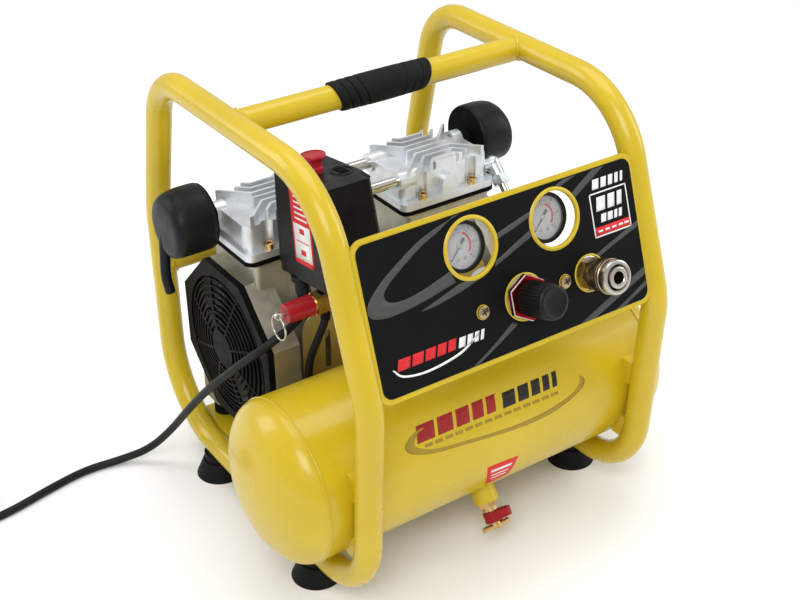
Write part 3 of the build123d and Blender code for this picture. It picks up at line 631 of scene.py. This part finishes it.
def make_plug(line):
    """Moulded plug on the end of the coil's tail, with a ribbed boot and three pins."""
    end = line[-1]
    boot_line = list(reversed(line))
    boot = ribbed_sleeve("plug_boot", boot_line, 7.6, 4.5, 30, 6, rubber)
    sections = [(0.0, 8.0, 7.0), (2.5, 10.5, 8.3), (7.0, 13.2, 8.8), (14.0, 14.0, 9.0),
                (19.5, 13.6, 8.8), (22.0, 12.4, 7.9), (22.6, 11.0, 6.8)]
    verts = []
    sides = 40
    for reach, half_wide, half_high in sections:
        for j in range(sides):
            a = 2 * math.pi * j / sides
            c, s = math.cos(a), math.sin(a)
            wide = math.copysign(abs(c) ** 0.55, c) * half_wide * MM
            tall = math.copysign(abs(s) ** 0.55, s) * half_high * MM
            verts.append(Vector((end.x + wide, end.y + reach * MM, PLUG_LEVEL * MM + tall)))
    faces = grid_faces(len(sections), sides, wrap_columns=True)
    faces.append(list(range(sides)))
    faces.append([(len(sections) - 1) * sides + j for j in range(sides)])
    body = add_piece("plug_body", verts, faces, rubber, "frame")
    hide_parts("mains_plug")
    pins = bmesh.new()
    for offset in (-PIN_SPREAD, PIN_SPREAD):
        middle = end + mm(offset, PIN_ROOT + BLADE[1] / 2, 0)
        place = Matrix.LocRotScale(middle, None, Vector(BLADE) * MM)
        bmesh.ops.create_cube(pins, size=1, matrix=place)
    middle = Vector((end.x, end.y, 0)) + mm(0, PIN_ROOT + EARTH_LENGTH / 2, EARTH_LEVEL)
    turn = Matrix.Rotation(math.radians(90), 4, "X")
    bmesh.ops.create_cone(pins, cap_ends=True, segments=24, radius1=EARTH_R * MM, radius2=EARTH_R * MM,
                          depth=EARTH_LENGTH * MM, matrix=Matrix.Translation(middle) @ turn)
    mesh = bpy.data.meshes.new("plug_pins")
    pins.to_mesh(mesh)
    pins.free()
    soft = soften(add_mesh("plug_pins", mesh, brass, "frame"), 0.35)
    return [boot, body, soft]


def make_cords():
    route = MAINS_ROUTE + coil_points() + COIL_TAIL
    mains = cord_curve("mains_lead", route, CORD_R, cord_rubber)
    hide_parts("mains_cord", "cord_coil")
    line = centre_line(mains)
    relief = ribbed_sleeve("mains_strain_relief", line, 5.6, 4.2, 26, 6, rubber)
    plug = make_plug(line)
    lead = cord_curve("motor_cable", LEAD_ROUTE, LEAD_R, cord_rubber)
    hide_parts("motor_lead")
    line = centre_line(lead)
    cuff = ribbed_sleeve("motor_cable_relief", line, 5.2, 4.0, 20, 4, rubber)


# ---- control panel --------------------------------------------------------------------

PANEL_LEAN = math.radians(18.5)
PANEL = axes(
    (0, -126.7, 335.6),
    (1, 0, 0),
    (0, math.sin(PANEL_LEAN), math.cos(PANEL_LEAN)),
    (0, -math.cos(PANEL_LEAN), math.sin(PANEL_LEAN)),
)
GAUGES = {"left": (-32.0, -28.4), "right": (48.0, -28.4)}
REGULATOR = (8.0, -79.0)
COUPLER = (73.3, -79.7)
BRACKET_SCREWS = [(-32.0, -78.7), (48.0, -79.1)]
INK = 0.12      # height of print over what it is on


def on_panel(u, v):
    return PANEL @ Vector((u, v, INK))


def at_panel(place, depth=0.0):
    return PANEL @ Matrix.Translation((*place, depth))


STRIPES = {
    "sweep": (
        [(-35.8, -0.8), (-57, -4.7), (-76.4, -10.7), (-96.5, -20.8), (-112.8, -30.4),
         (-124.7, -40.4), (-128.2, -46.8), (-126.4, -53.5), (-113.7, -57), (-94, -56.4),
         (-73.4, -53.5), (-50.5, -49.3)],
        [(-43.4, -0.9), (-57.8, -8.4), (-73.7, -14.6), (-92, -24.5), (-105.4, -32.7),
         (-112.3, -39.7), (-110.2, -45.8), (-99.3, -48.5), (-80.9, -46.5), (-54.6, -40)],
    ),
    "tail": (
        [(-84.2, -61.3), (-69.6, -61), (-46.4, -57.2), (-30, -53.4)],
        [(-84.2, -61.1), (-64.5, -55.9), (-45, -50.9), (-37, -52.6)],
    ),
    "middle_low": (
        [(-14, -48.4), (-10.9, -47.3), (21.9, -36.1), (25.5, -35)],
        [(-12.6, -44.3), (21, -31), (24, -29.8)],
    ),
    "middle_high": (
        [(-7.2, -28.6), (9, -24.8), (24.6, -20.5)],
        [(-7.8, -24.3), (9, -20.3), (26.2, -16.2)],
    ),
    "top_near": ([(57.5, -5.6), (75, -0.7)], [(52.7, -3.9), (62, -0.7)]),
    "top_far": (
        [(70.6, -17.6), (86, -9.6), (103, -0.7)],
        [(67.8, -13.4), (80, -6.4), (91.5, -0.7)],
    ),
    "right": (
        [(83.6, -70.2), (101, -64.6), (128.6, -56.8)],
        [(79.6, -68.2), (92, -63.9), (128.6, -52.1)],
    ),
    "low_left": (
        [(-49.7, -116.7), (-28.8, -106.9), (-7, -94.6)],
        [(-44.5, -116.7), (-24.2, -107.8), (-2.5, -97.7)],
    ),
    "low_wide": (
        [(56.4, -116.7), (83.9, -106.4), (128.6, -90.8)],
        [(71.7, -116.7), (94.1, -109), (128.6, -96.9)],
    ),
    "low_right": (
        [(92.5, -116.7), (106, -112), (128.4, -102.3)],
        [(102.7, -116.7), (113, -112.3), (127.6, -106.9)],
    ),
}


def make_stripes():
    for name, (first_edge, second_edge) in STRIPES.items():
        steps = 72 if name == "sweep" else 20
        band("stripe_" + name, first_edge, second_edge, on_panel, label_grey, steps)


def box_edges(left, top, right, bottom, line):
    """Four thin bands round a rectangle."""
    return [
        ([(left, top), (right, top)], [(left, top - line), (right, top - line)]),
        ([(left, bottom + line), (right, bottom + line)], [(left, bottom), (right, bottom)]),
        ([(left, top), (left, bottom)], [(left + line, top), (left + line, bottom)]),
        ([(right - line, top), (right - line, bottom)], [(right, top), (right, bottom)]),
    ]


def flat_bar(left, top, right, bottom):
    """Edges of a plain rectangle."""
    return [(left, top), (right, top)], [(left, bottom), (right, bottom)]


def make_panel_marks():
    """Generic marks where the real label has lettering."""
    left, top, right, bottom = 84.0, -19.5, 122.0, -55.0
    line = 1.1
    white = box_edges(left, top, right, bottom, line)
    white += speed_bars(89.0, -34.5, -23.5, (9.0, 7.0, 5.0), 2.6, 2.0)
    white += speed_bars(92.0, -44.0, -37.5, (5.2, 5.2, 3.2, 3.2), 1.6, 1.4)
    white += speed_bars(88.0, -16.8, -9.0, (6.5, 5.5, 4.5, 3.5, 2.5), 2.2, 1.6)
    joined_bands("info_box", white, on_panel, ink_white)
    red = [flat_bar(left + line, -47.0, right - line, bottom + line)]
    joined_bands("info_box_band", red, on_panel, ink_red)
    dashes = [flat_bar(u, -49.6, u + 4.6, -51.2) for u in (88, 95, 102, 109, 115)]
    joined_bands("info_box_dashes", dashes, lambda u, v: PANEL @ Vector((u, v, 2 * INK)),
                 ink_white)
    joined_bands("maker_bars_red", speed_bars(-114.0, -98.5, -90.0, (11, 10, 9, 8, 7), 1.8, 2.6),
                 on_panel, ink_red)
    joined_bands("maker_bars_white", speed_bars(-59.0, -98.5, -91.0, (6, 5, 4, 3), 1.8, 2.4),
                 on_panel, ink_white)
    band("maker_underline",
         [(-118, -96), (-110, -104), (-88, -107.2), (-58, -103.4), (-38.5, -93.5)],
         [(-116.5, -96.2), (-108.6, -102.8), (-88, -105.4), (-59, -101.6), (-38.8, -92.4)],
         on_panel, ink_white, 40, 1)


def make_windows():
    """Painted lips round the label's holes."""
    for side, at in GAUGES.items():
        lip = [(21.7, -2.4), (21.7, 0.3), (22.1, 0.9), (22.8, 1.15), (23.6, 1.0), (24.5, 0.35),
               (24.9, -0.1), (24.9, -0.5)]
        turned(f"window_lip_{side}", lip, at_panel(at), yellow, "frame", 96,
               closed=True)
    holes = (("regulator", REGULATOR, 17.0, 18.8), ("coupler", COUPLER, 13.7, 15.3))
    for name, at, inner, outer in holes:
        lip = [(inner, -2.4), (inner, 0.1), (inner + 0.5, 0.5), (outer - 0.7, 0.5), (outer, 0.12),
               (outer, -0.5)]
        turned(f"{name}_lip", lip, at_panel(at), yellow, "frame", 72,
               closed=True)


def make_bracket_screws():
    """Pan heads in paint-rimmed holes, each with a flat black cross on top as painted shade of a cross
    recess.
    """
    for i, at in enumerate(BRACKET_SCREWS):
        place = at_panel(at)
        rim = [(5.2, -0.4), (5.2, 0.3), (5.5, 0.45), (5.8, 0.3), (5.9, -0.4)]
        turned(f"screw_rim_{i}", rim, place, yellow, "frame", 40, closed=True)
        head = [(5.05, -0.4), (5.05, 0.9), (4.6, 1.7), (3.4, 2.3), (1.8, 2.6), (0.4, 2.65)]
        turned(f"screw_head_{i}", head, place, bronze, "frame", 40)
        # Painted shade: a thin black cross sheet on the flat head stands for the dark of a cross recess,
        # which is not modelled.
        painted_shade_arms = []
        for turn in (20, 110):
            along = Vector((math.cos(math.radians(turn)), math.sin(math.radians(turn))))
            wide = Vector((-along.y, along.x)) * 0.55
            near, far = Vector(at) - along * 2.7, Vector(at) + along * 2.7
            painted_shade_arms.append(([near + wide, far + wide], [near - wide, far - wide]))
        joined_bands(f"screw_cross_painted_shade_{i}", painted_shade_arms, lambda u, v: PANEL @ Vector((u, v, 2.75)),
                     ink_black)


# ---- gauges ---------------------------------------------------------------------------

DIAL_DEPTH = -15.8
NEEDLE_DEPTH = -14.9
NEEDLE_REST = 225.0
SCALE_SWEEP = 270.0


def arc_band(at, radius, width, start, end, count=24):
    """Edges of an arc about a dial's middle, in degrees."""
    edges = []
    for r in (radius - width / 2, radius + width / 2):
        edges.append([
            (at[0] + r * math.cos(math.radians(start + (end - start) * i / count)),
             at[1] + r * math.sin(math.radians(start + (end - start) * i / count)))
            for i in range(count + 1)
        ])
    return tuple(edges)


def make_dials():
    def on_dial(u, v):
        return PANEL @ Vector((u, v, DIAL_DEPTH + 0.09))

    for side, at in GAUGES.items():
        ticks = []
        for i in range(31):
            angle = NEEDLE_REST - SCALE_SWEEP * i / 30
            long = 1.9 if i % 5 == 0 else 1.0
            wide = 3.4 if i % 5 == 0 else 2.0
            ticks.append(arc_band(at, 13.5 - long / 2, long, angle - wide / 2, angle + wide / 2, 1))
        joined_bands(f"dial_ticks_{side}", ticks, on_dial, ink_black, steps=3,
                     across=1, thick=0.05)
        arcs = [arc_band(at, 10.0, 0.35, NEEDLE_REST, NEEDLE_REST - SCALE_SWEEP)]
        joined_bands(f"dial_scale_{side}", arcs, on_dial, ink_red, steps=60,
                     across=1, thick=0.05)
        zone = [arc_band(at, 10.2, 2.0, 62, -38)]
        joined_bands(f"dial_zone_{side}", zone, on_dial, ink_red, steps=40,
                     across=1, thick=0.08)
        make_numbers(side, at)
        for j, spot in enumerate(((-3.4, -9.5), (2.9, -9.8))):
            place = at_panel((at[0] + spot[0], at[1] + spot[1]), DIAL_DEPTH)
            head = [(1.55, -0.2), (1.55, 0.3), (1.1, 0.55), (0.3, 0.6)]
            turned(f"dial_screw_{side}_{j}", head, place, steel, "frame", 24)


def make_numbers(side, at):
    """The outer scale's figures."""
    verts, faces = [], []
    for i in range(7):
        angle = math.radians(NEEDLE_REST - SCALE_SWEEP * i / 6)
        text = bpy.data.curves.new("figure", "FONT")
        text.body = str(2 * i)
        text.size = 3.1
        text.align_x = "CENTER"
        text.align_y = "CENTER"
        text.resolution_u = 3
        holder = bpy.data.objects.new("figure", text)
        mesh = bpy.data.meshes.new_from_object(holder)
        centre = Vector((at[0] + 15.4 * math.cos(angle), at[1] + 15.4 * math.sin(angle), 0))
        start = len(verts)
        for v in mesh.vertices:
            verts.append(PANEL @ (centre + Vector((v.co.x, v.co.y, DIAL_DEPTH + 0.09))))
        faces += [tuple(start + k for k in p.vertices) for p in mesh.polygons]
        bpy.data.objects.remove(holder)
    piece = add_piece(f"dial_figures_{side}", verts, faces, ink_black, "frame")
    solidify(piece, 0.05)


def make_needles():
    """Pointers with a thin tip, a broad tail and a hub."""
    outline = [(14.2, 0.0), (3.0, 0.6), (-1.0, 0.7), (-6.4, 1.25), (-7.0, 0.7), (-7.0, -0.7),
               (-6.4, -1.25), (-1.0, -0.7), (3.0, -0.6)]
    for side, at in GAUGES.items():
        turn = Matrix.Rotation(math.radians(NEEDLE_REST), 4, "Z")
        place = at_panel(at) @ turn
        levels = (NEEDLE_DEPTH, NEEDLE_DEPTH + 0.35)
        verts = [place @ Vector((x, y, z)) for z in levels for x, y in outline]
        count = len(outline)
        faces = [list(range(count)), [count + i for i in range(count)]]
        faces += [(i, (i + 1) % count, count + (i + 1) % count, count + i) for i in range(count)]
        pointer = add_piece(f"needle_{side}", verts, faces, black_steel, f"needle_{side}")
        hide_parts(f"gauge_needle_{side}")
        hub = [(2.1, NEEDLE_DEPTH - 0.3), (2.1, NEEDLE_DEPTH + 0.5), (1.7, NEEDLE_DEPTH + 0.9),
               (0.9, NEEDLE_DEPTH + 1.0)]
        turned(f"needle_hub_{side}", hub, at_panel(at), steel, f"needle_{side}", 32)


# ---- regulator and coupler ------------------------------------------------------------

def make_regulator_nut():
    """Red lock nut whose chamfers are bright."""
    shape = bmesh.new()
    corner = 33 / 2 / math.cos(math.radians(30))
    rings = []
    for height in (2.0, 6.5):
        ring = []
        for i in range(6):
            a = math.radians(60 * i + 30)
            ring.append(shape.verts.new((corner * math.cos(a), corner * math.sin(a), height)))
        rings.append(ring)
    shape.faces.new(rings[0])
    shape.faces.new(rings[1])
    for i in range(6):
        j = (i + 1) % 6
        shape.faces.new((rings[0][i], rings[0][j], rings[1][j], rings[1][i]))
    bmesh.ops.recalc_face_normals(shape, faces=shape.faces)
    bmesh.ops.bevel(shape, geom=list(shape.edges), offset=0.65, segments=1, affect="EDGES",
                    material=1)
    bmesh.ops.transform(shape, matrix=at_panel(REGULATOR), verts=shape.verts)
    mesh = bpy.data.meshes.new("lock_nut")
    shape.to_mesh(mesh)
    shape.free()
    nut = add_mesh("lock_nut", mesh, red_anodised, "frame", math.radians(10))
    mesh.materials.append(steel)
    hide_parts("regulator_nut")


def make_regulator_knob():
    """Ribbed adjusting knob with a smooth domed end."""
    ribs, deep = 30, 0.55

    def ribbed(angle, r, h):
        if 8.5 < h < 32 and r > 12:
            wave = 0.5 - 0.5 * math.cos(angle * ribs)
            return r - deep * wave ** 2
        return r

    profile = [(11.0, 8.0), (13.4, 8.0), (14.2, 8.8), (14.2, 20), (14.1, 31.5), (13.6, 32.4),
               (13.6, 33.2), (13.9, 34.0), (13.5, 35.6), (12.4, 36.6), (11.0, 36.9), (10.4, 36.5),
               (5.0, 36.3), (0.5, 36.3)]
    knob = turned("pressure_knob", profile, at_panel(REGULATOR), black_plastic, "regulator_knob",
                  240, ribbed)
    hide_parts("regulator_knob")


def make_coupler():
    """Knurled pull-back sleeve with a steel ring at its front, round a fixed nose."""
    knurls, deep = 64, 0.28

    def knurled(angle, r, h):
        if 12.6 < h < 21.4 and r > 12:
            wave = (0.5 - 0.5 * math.cos(angle * knurls)) * (0.6 + 0.4 * math.cos(h * 4.2))
            return r - deep * wave
        return r

    rows = [(13.05, 12.2 + 0.75 * i) for i in range(13)]
    profile = [(9.2, 12.0), (12.6, 12.0)] + rows + [
        (12.5, 21.8), (12.5, 22.6), (13.9, 23.0), (14.2, 23.6), (14.2, 25.2), (13.6, 25.7),
        (13.6, 28.6), (13.9, 29.0), (13.9, 31.6), (13.2, 32.6), (12.2, 33.0), (10.4, 33.0),
        (9.9, 32.4), (9.2, 30.5),
    ]
    place = at_panel(COUPLER)
    sleeve = turned("quick_coupler_sleeve", profile, place, old_brass, "coupler_sleeve",
                    256, knurled, closed=True)
    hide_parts("coupler_sleeve")
    front = [(10.6, 32.9), (13.2, 32.5), (13.95, 31.4), (14.0, 29.3), (13.95, 31.6), (13.3, 32.8),
             (12.3, 33.3), (10.7, 33.2)]
    turned("coupler_front_ring", front, place, steel, "coupler_sleeve", 72, closed=True)
    nose = [(5.15, 30.0), (5.15, 33.9), (5.7, 34.4), (7.6, 34.5), (8.4, 34.1), (8.65, 33.4),
            (8.65, 30.0)]
    turned("coupler_nose", nose, place, steel, "frame", 64, closed=True)


# ---- tank -----------------------------------------------------------------------------

TANK_R = 70.0
TANK_Y = -72.4
TANK_Z = 111.6
TANK_HALF = 166.0


def on_tank(x, around, lift=INK):
    """A point on the tank's skin: along X, and around it upward from its front, in millimetres."""
    angle = around / TANK_R
    reach = TANK_R + lift
    return mm(x, TANK_Y - reach * math.cos(angle), TANK_Z + reach * math.sin(angle))


def make_tank_marks():
    """Generic two-colour bars and a swoosh where the real tank has lettering, and a red sticker."""
    bars = speed_bars(-79.0, 37.0, 50.6, (17, 15, 13, 11, 9), 3.2, 3.6)
    joined_bands("tank_bars_red", bars, on_tank, ink_dark_red, 4, 6)
    bars = speed_bars(6.0, 36.4, 48.6, (13, 11, 9, 7, 5), 3.0, 3.2)
    joined_bands("tank_bars_black", bars, on_tank, ink_black, 4, 6)
    dashes = []
    for i in range(14):
        x = -73 + 9.8 * i
        middle = 33.2 - 2.4 * i / 13
        dashes.append((
            [(x, middle + 1.3), (x + 7.2, middle + 1.1)],
            [(x, middle - 1.3), (x + 7.2, middle - 1.5)],
        ))
    joined_bands("tank_dashes", dashes, on_tank, ink_olive, 3, 2)
    band("tank_swoosh",
         [(-69.4, 47.8), (-80, 46), (-89.5, 40.2), (-90.4, 35.6), (-85.5, 31), (-67.6, 25.2),
          (-35.9, 21), (14, 15.6), (49.2, 15.6), (73.4, 20.4), (87, 26.2), (91.4, 32.1), (88.5, 36.6)],
         [(-69.4, 46.6), (-76, 44.6), (-81.6, 39), (-81.8, 36.7), (-76.8, 32.6), (-63, 27.6),
          (-35.3, 23.8), (14.5, 18.9), (49.9, 19.9), (74, 24.4), (83.4, 29.4), (86.6, 33), (86.8, 36.2)],
         on_tank, ink_olive, 90, 2)
    band("drain_sticker",
         [(-15.4, -10.8), (0, -11.6), (17.2, -13.2)],
         [(-10.5, -39.5), (1, -38.8), (13.5, -38.2)],
         on_tank, ink_red, 12, 8)
    marks = [([(-10.5, -17), (12, -18.6)], [(-10.2, -20), (11.6, -21.6)]),
             ([(-8.5, -24), (9.5, -25.2)], [(-8.3, -25.6), (9.3, -26.8)]),
             ([(-7.5, -29), (8.5, -30.0)], [(-7.3, -30.6), (8.3, -31.6)])]
    joined_bands("drain_sticker_bars", marks, lambda x, a: on_tank(x, a, 2 * INK), ink_white)


def bead(name, path, radius, seed):
    """A weld bead: a round run along a closed path, uneven like set metal."""
    radii = []
    for i, point in enumerate(path):
        ripple = 0.16 * math.sin(i * 2.1)
        radii.append(radius * (1 + ripple + 0.25 * noise.noise(point * 160 + Vector((seed, 0, 0)))))
    return swept(name, path, radii, yellow, "frame", 10, closed=True)


def circle_x(x, y, z, radius, steps=96):
    """A circle about an axis along X."""
    angles = [2 * math.pi * i / steps for i in range(steps)]
    return [mm(x, y + radius * math.cos(a), z + radius * math.sin(a)) for a in angles]


def make_weld_beads():
    for i, x in enumerate((-TANK_HALF, TANK_HALF)):
        path = circle_x(x, TANK_Y, TANK_Z, TANK_R + 0.1, 260)
        bead(f"tank_seam_{i}", path, 0.75, i)
    for side in (-1, 1):
        for name, y, z, run_y in (("handle", 25.0, 377.5, True), ("rear", 179.3, 188.0, False)):
            path = []
            for k in range(72):
                a = 2 * math.pi * k / 72
                off_y, off_z = 10.6 * math.cos(a), 10.6 * math.sin(a)
                across = off_z - 1.0 if run_y else off_y
                depth = math.sqrt(max(1.0, 11.2 ** 2 - across ** 2))
                path.append(mm(side * (140 - depth), y + off_y, z + off_z))
            bead(f"{name}_weld_{'left' if side < 0 else 'right'}", path, 1.25, side * 3 + z)


# ---- grip -----------------------------------------------------------------------------

GRIP_X = (-48.0, 38.0)
HANDLE_Y = 25.0
HANDLE_Z = 377.5


def make_grip():
    """Rubber grip: slanting bands at both ends of a smooth, slightly swelled middle."""
    steps, sides = 172, 64
    grooves = (0.10, 0.19, 0.285, 0.715, 0.81, 0.90)
    verts = []
    for i in range(steps + 1):
        s = i / steps
        x = GRIP_X[0] + (GRIP_X[1] - GRIP_X[0]) * s
        slant = 0.34 * math.copysign(min(1.0, abs(2 * s - 1) * 2.2), 2 * s - 1)
        radius = 12.5 + 0.65 * math.sin(math.pi * s)
        for groove in grooves:
            radius -= 1.15 * math.exp(-((s - groove) / 0.0085) ** 2)
        end = min(s, 1 - s) * (GRIP_X[1] - GRIP_X[0])
        radius -= max(0.0, 1.4 - end) ** 2 * 0.55
        for j in range(sides):
            a = 2 * math.pi * j / sides
            rise = radius * math.sin(a)
            verts.append(mm(x + slant * rise, HANDLE_Y + radius * math.cos(a), HANDLE_Z + rise))
    faces = grid_faces(steps + 1, sides, wrap_columns=True)
    for i in (0, steps):
        faces.append([i * sides + j for j in range(sides)])
    grip = add_piece("rubber_grip", verts, faces, rubber, "frame", math.radians(50))
    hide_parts("hand_grip")


# ---- intake silencers -----------------------------------------------------------------

PUMP_X = 3.0
FILTER_Y = 100.0
FILTER_Z = 267.0


def make_silencers():
    """Rounded cans outside the heads, each with a dark inner end and a curved snorkel."""
    sections = [   # (out from the pump, radius, drop of the hood, flattening of the hood)
        (128.0, 9.0, 0.0, 0.0), (136.6, 9.0, 0.0, 0.0), (137.2, 24.0, 0.0, 0.0),
        (137.6, 27.4, 0.0, 0.0), (139.2, 28.7, 0.0, 0.0), (142.5, 29.0, 0.0, 0.0),
        (154.0, 29.0, 0.0, 0.0), (162.0, 28.8, 0.3, 0.02), (167.0, 28.4, 0.8, 0.05),
        (169.8, 27.6, 1.2, 0.08), (171.8, 26.2, 1.7, 0.11), (173.1, 24.2, 2.2, 0.14),
        (173.8, 21.4, 2.7, 0.16), (174.0, 17.0, 3.0, 0.16), (174.0, 6.0, 3.4, 0.16),
    ]
    route = [(168, 110, 254), (170, 111, 240), (171.5, 111, 227), (172, 110.5, 213),
             (170, 110, 199)]
    sides = 56
    for sign, side in ((-1, "left"), (1, "right")):
        verts = []
        for out, radius, drop, flat in sections:
            for j in range(sides):
                a = 2 * math.pi * j / sides
                c, s = math.cos(a), math.sin(a)
                up = s * radius * (1 - flat * max(0.0, s)) - drop
                verts.append(mm(PUMP_X + sign * out, FILTER_Y + c * radius, FILTER_Z + up))
        faces = grid_faces(len(sections), sides, wrap_columns=True)
        faces.append(list(range(sides)))
        faces.append([(len(sections) - 1) * sides + j for j in range(sides)])
        can = add_piece(f"silencer_{side}", verts, faces, filter_plastic, "frame",
                        math.radians(40))
        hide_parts("intake_filters", "filter_foams")
        place = axes((PUMP_X, FILTER_Y, FILTER_Z), (0, 1, 0), (0, 0, sign), (sign, 0, 0))
        inner = [(9.1, 136.4), (9.1, 137.6), (27.2, 137.6), (27.9, 137.0), (27.2, 136.4)]
        turned(f"silencer_back_{side}", inner, place, gasket_rubber, "frame", 56,
               closed=True)
        line = smooth_line([mm(PUMP_X + sign * x, y, z) for x, y, z in route], 30)
        radii = [6.4 - 1.9 * min(1.0, i / 12) for i in range(30)]
        swept(f"snorkel_{side}", line, radii, filter_plastic, "frame", 28)


# ---- pressure switch ------------------------------------------------------------------

SWITCH = Matrix.Translation(mm(-83, -6, 240)) @ Matrix.Rotation(math.radians(-8), 4, "X")


def on_switch_side(y, z):
    """A point on the cover's left face, which leans in towards its top."""
    lean = 3.0 * (z - 8) / 78
    return SWITCH @ mm(-17.0 + lean - INK, y + 1.5 * (z - 8) / 78, z)


def make_switch_marks():
    """Two-colour sticker with plain bars, and a raised oval on top of the cover."""
    band("switch_sticker", [(-17.0, 16), (-18.3, 22), (-18.3, 78), (-17.0, 84)],
         [(10.5, 16), (11.8, 22), (11.8, 78), (10.5, 84)], on_switch_side, ink_red,
         24, 4)

    def over(y, z):
        return on_switch_side(y, z) + Vector((-INK * MM, 0, 0))

    joined_bands("switch_sticker_field", [([(-16, 20), (-16, 50)], [(9.5, 20), (9.5, 50)])], over,
                 ink_white)
    bars = [flat_bar(-13, z, 6.5, z - 1.6) for z in (78, 73.5, 69, 64.5, 60, 55.5)]
    joined_bands("switch_sticker_lines", bars, over, ink_white)

    def over_more(y, z):
        return on_switch_side(y, z) + Vector((-2 * INK * MM, 0, 0))

    marks = [flat_bar(-7, 47, 0.5, 42.5), flat_bar(-13, 36, 6.5, 35.2),
             flat_bar(-7, 29, 0.5, 24.5)]
    joined_bands("switch_sticker_marks", marks, over_more, ink_red)
    oval = []
    for i in range(64):
        a = 2 * math.pi * i / 64
        oval.append(SWITCH @ mm(19.0 + 8.6 * math.cos(a), -16.0 + 10.5 * math.sin(a), 90.1))
    swept("cover_oval", oval, [0.7] * 64, black_plastic, "frame", 8, closed=True)
    bars = [flat_bar(15, y, 23, y + 1.4) for y in (-21, -17.5, -14, -10.5)]
    joined_bands("cover_oval_bars", bars, lambda x, y: SWITCH @ mm(x, y, 90.7), guard_plastic,
                 thick=0.7)


def make_switch_knob():
    """Pull knob: a waisted stem under a shallow dished head."""
    profile = [(6.4, 60), (6.4, 92), (7.0, 92.6), (7.0, 95.0), (6.5, 95.8), (6.6, 98.2),
               (7.6, 100.8), (9.4, 102.3), (10.3, 103.2), (10.4, 104.6), (9.9, 105.5), (8.9, 105.6),
               (8.3, 105.1), (4.0, 105.0), (0.3, 105.0)]
    place = SWITCH @ Matrix.Scale(MM, 4) @ Matrix.Translation((2.0, -3.0, 0))
    knob = turned("pull_knob", profile, place, red_knob, "switch_knob", 64)
    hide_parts("switch_knob")


# ---- the whole ------------------------------------------------------------------------

def make_floor():
    half = 4.0
    rings = 24
    verts, faces = [], []
    for i in range(rings + 1):
        for j in range(rings + 1):
            verts.append((-half + 2 * half * i / rings, -half + 2 * half * j / rings, 0))
    faces = grid_faces(rings + 1, rings + 1)
    mesh = bpy.data.meshes.new("floor")
    mesh.from_pydata(verts, [], faces)
    floor = bpy.data.objects.new("floor", mesh)
    bpy.context.scene.collection.objects.link(floor)
    f = Finish("floor_card", 0.9)
    f.colour(f.noise(3, 3), (0.3, 0.86), (0.7, 0.90))
    mesh.materials.append(f.material)


make_camera()
make_cords()
make_floor()
make_studio()
finish_nodes()
make_stripes()
make_panel_marks()
make_windows()
make_bracket_screws()
make_dials()
make_needles()
make_regulator_nut()
make_regulator_knob()
make_coupler()
make_tank_marks()
make_weld_beads()
make_grip()
make_silencers()
make_switch_marks()
make_switch_knob()
